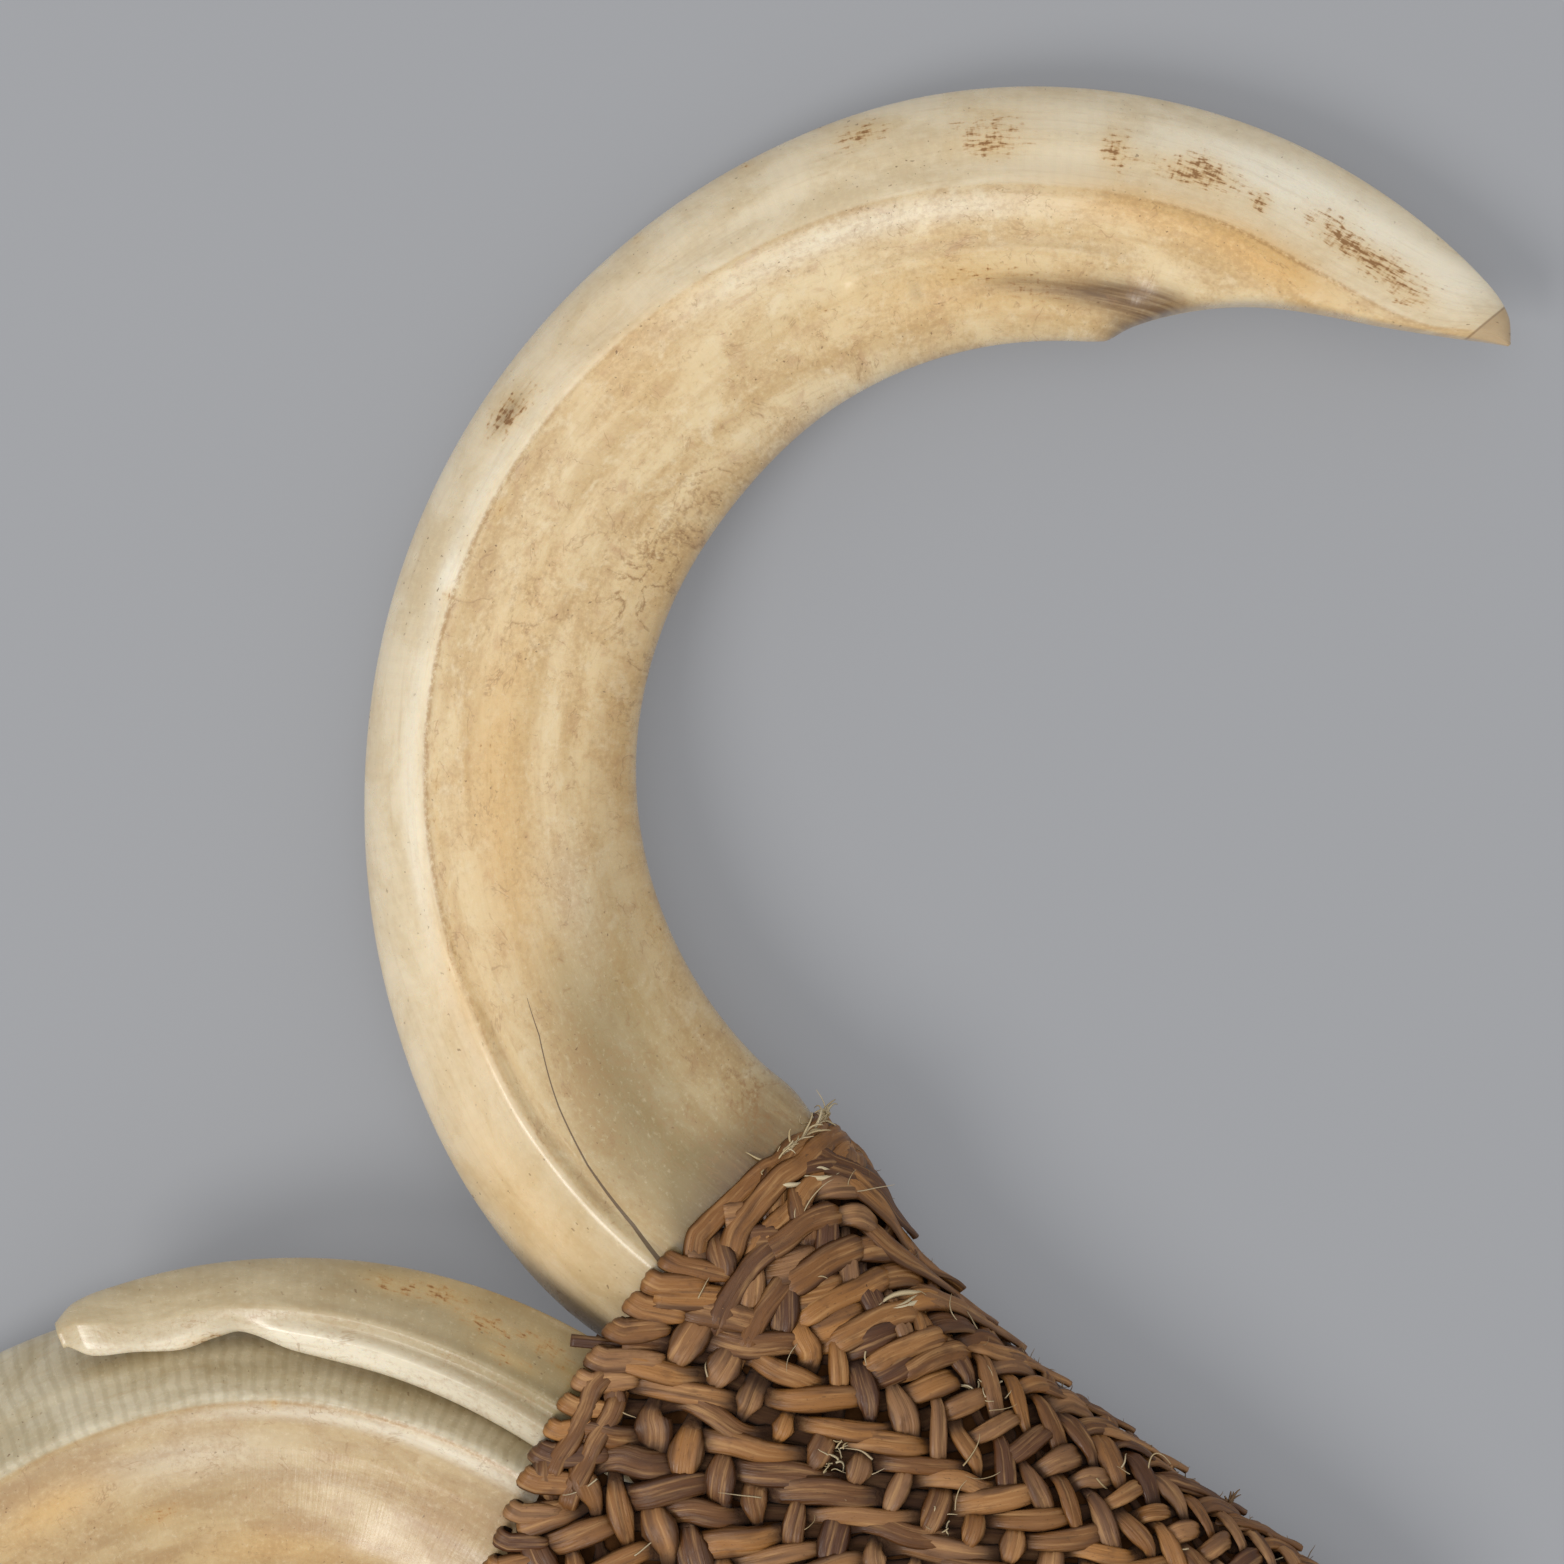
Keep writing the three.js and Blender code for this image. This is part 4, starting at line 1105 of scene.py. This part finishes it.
def make_fibres(surface, look):
    """Loose ends: fluff at the point of the mouth, split strands, and hairs along the right edge."""
    rng = np.random.default_rng(911)
    pile = StripPile(HAIR_SECTION)
    along_mouth = np.array([0.62, 0.78, 0.0])
    for n in range(HAIR_COUNTS["mouth"]):
        t = 0.008 + 0.06 * rng.uniform() ** 1.5
        start, _ = surface.spot(0.0, t, rng.uniform(0.2, 0.9))
        way = along_mouth * rng.choice([-0.8, 1.0]) + np.array([-0.1, 0.16, 0.05]) + rng.normal(0, 0.2, 3)
        add_hair(pile, start, way, rng.uniform(1.2, 2.8), rng.uniform(0.12, 0.3), 2000 + n, 0.7, 0.95)
    for n, (s0, t0, s1, t1, bow, width) in enumerate(PALE_STRANDS):
        u = np.linspace(0, 1, 30)
        arch = np.sin(np.pi * u)
        add_laid(
            pile, surface, lerp(s0, s1, u) + bow * arch, lerp(t0, t1, u), 0.2 + 0.8 * np.sqrt(arch),
            width * (0.25 + 0.75 * arch), 2600 + 10 * n, 1.0, rng.uniform(), 0.4,
        )
    for n in range(HAIR_COUNTS["tuft"]):
        start, _ = surface.spot(0.66, -0.002, 0.6)
        way = np.array([0.35, 0.9, 0.05]) + rng.normal(0, 0.2, 3)
        add_hair(pile, start, way, rng.uniform(1.0, 2.2), rng.uniform(0.2, 0.4), 2700 + n, 0.3, 0.5)
    for n in range(HAIR_COUNTS["lint"]):
        s, t = LINT_SPOTS[n % len(LINT_SPOTS)] + rng.normal(0, 0.009, 2)
        start, _ = surface.spot(s, t, rng.uniform(0.1, 0.6))
        way = np.array([*rng.normal(0, 1, 2), 0.1])
        add_hair(pile, start, way, rng.uniform(0.8, 2.2), rng.uniform(0.1, 0.22), 2800 + n, 1.4, 1.0)
    for n in range(HAIR_COUNTS["edge"]):
        s, t = rng.uniform(0.02, 0.95), rng.normal(-0.005, 0.018)
        start, normal = surface.spot(s, t, 0.7)
        way = normal + rng.normal(0, 0.6, 3)
        add_hair(pile, start, way, rng.uniform(0.5, 1.5), rng.uniform(0.05, 0.1), 2100 + n, 0.8, 0.6)
    for n in range(HAIR_COUNTS["plait"]):
        s, t = rng.uniform(0.03, 0.9), rng.uniform(0.03, 0.45)
        start, _ = surface.spot(s, t, 0.95)
        turn = rng.uniform(0, 2 * math.pi)
        way = np.array([math.cos(turn), math.sin(turn), 0.02])
        add_hair(pile, start, way, rng.uniform(1.2, 4.0), rng.uniform(0.07, 0.2), 2300 + n, 0.5, 0.8)
    pile.finish("cane_fibres", look)


def cane_material():
    """Split cane: fibres along each strip, painted shade where it dips under other strips and along its
    edges, with its own tone for each strip.
    """
    s = Shader("split_cane", roughness=0.45, specular=0.38)
    strand = s.vector("strand")
    shade, other, raised = s.parts(s.vector("tint"))
    fibres = s.noise(strand, (0.17, 2.7, 1.0), detail=4.0, rough=0.6, warp=0.15)
    wide_fibres = s.noise(strand, (0.12, 1.3, 1.0), warp=0.2)
    blotch = s.noise(strand, (0.4, 0.7, 1.0), detail=3.0, rough=0.6)
    grit = s.noise(strand, (2.4, 4.5, 1.0), detail=3.0, rough=0.65)
    from_middle = s.math("ABSOLUTE", s.parts(strand)[1])
    s.colour = s.mix(shade, tone(80, 46, 22), tone(160, 109, 56))
    s.paint(s.band(other, 0.55, 1.0, 0, 0.7), 146, 106, 70)
    s.paint(s.band(other, 0.45, 0.0, 0, 0.5), 138, 90, 40)
    s.paint(s.band(fibres, 0.46, 0.74, 0, 0.52), 204, 158, 104)
    s.paint(s.band(wide_fibres, 0.5, 0.3, 0, 0.6), 66, 36, 16)
    # Painted shade along each strip's edges, where the strips meet.
    s.paint(s.band(from_middle, 0.55, 1.2, 0, 0.72), 58, 32, 15)
    s.paint(s.band(blotch, 0.52, 0.74, 0, 0.5), 78, 46, 20)
    s.paint(s.band(grit, 0.6, 0.74, 0, 0.5), 46, 26, 12)
    # Painted shade where a strip dips under the strips that cross it.
    s.paint(s.band(raised, 0.9, -0.5, 0, 0.86), 40, 21, 10)
    height = s.plus(s.times(fibres, 0.7), s.times(wide_fibres, 0.7))
    rough = s.math("MAXIMUM", s.band(fibres, 0.3, 0.75, 0.34, 0.6), s.band(raised, 0.6, -0.4))
    return s.finish(Roughness=rough, Normal=s.bump(height, 0.3, 0.9))


def fibre_material():
    """Loose fibres, from straw to brown by their first tint."""
    s = Shader("loose_fibre", roughness=0.6, specular=0.3)
    shade, other, _ = s.parts(s.vector("tint"))
    light = s.mix(other, tone(188, 166, 124), tone(206, 190, 156))
    s.colour = s.mix(s.band(shade, 0.4, 1.0), tone(120, 88, 56), light)
    return s.finish()


def core_material():
    s = Shader("cane_shadow", roughness=1.0, specular=0.0)
    fibres = s.noise(s.place(), (900.0, 900.0, 900.0), detail=3.0)
    # Dark cane tones: painted shade.
    s.colour = s.mix(fibres, tone(40, 23, 11), tone(84, 54, 30))
    return s.finish(Normal=s.bump(fibres, 0.2))


# Stage


def make_stage():
    s = Shader("grey_floor", roughness=0.85, specular=0.15)
    s.colour = s.mix(s.noise(s.place(), (6.0, 6.0, 6.0)), tone(128, 129, 131), tone(130, 131, 134))
    s.fill(s.surface, {"Emission Color": tone(*FLOOR_GLOW), "Emission Strength": 1.0})
    corners = [(x * FLOOR_HALF, y * FLOOR_HALF, 0.0) for x, y in ((-1, -1), (1, -1), (1, 1), (-1, 1))]
    new_object("floor", corners, [[0, 1, 2, 3]], s.finish(), smooth=False)


def add_area_light(name, place_mm, aim_mm, size_mm, watts, colour):
    data = bpy.data.lights.new(name, "AREA")
    data.shape = "DISK"
    data.size = size_mm * MM
    data.energy = watts
    data.color = colour
    obj = bpy.data.objects.new(name, data)
    place, aim = Vector(place_mm) * MM, Vector(aim_mm) * MM
    obj.location = place
    obj.rotation_euler = (aim - place).to_track_quat("-Z", "Y").to_euler()
    bpy.context.scene.collection.objects.link(obj)


def make_light_and_camera():
    scene = bpy.context.scene
    scene.view_settings.view_transform = "Standard"
    scene.view_settings.look = "None"
    middle = (*PLAN_SHIFT, VIEW_HEIGHT)
    scene.world = bpy.data.worlds.new("soft_room")
    scene.world.use_nodes = True
    room = scene.world.node_tree.nodes["Background"].inputs
    room["Color"].default_value = ROOM_COLOUR
    room["Strength"].default_value = ROOM_STRENGTH
    for name, (place, size, watts, colour) in LIGHTS.items():
        add_area_light(name, place, middle, size, watts, colour)
    data = bpy.data.cameras.new("camera")
    data.sensor_width = SENSOR
    data.lens = SENSOR * CAMERA_DISTANCE / VIEW_WIDTH
    data.clip_start = 0.01
    data.clip_end = 20.0
    camera = bpy.data.objects.new("camera", data)
    camera.location = Vector((*PLAN_SHIFT, VIEW_HEIGHT + CAMERA_DISTANCE)) * MM
    scene.collection.objects.link(camera)
    scene.camera = camera


make_light_and_camera()
make_stage()
make_tusks()
plait = BindingSurface(WEAVE_INSET)
cane_look = cane_material()
make_core(plait, core_material())
make_weave(plait, cane_look)
make_rim(plait, cane_look)
make_fibres(plait, fibre_material())
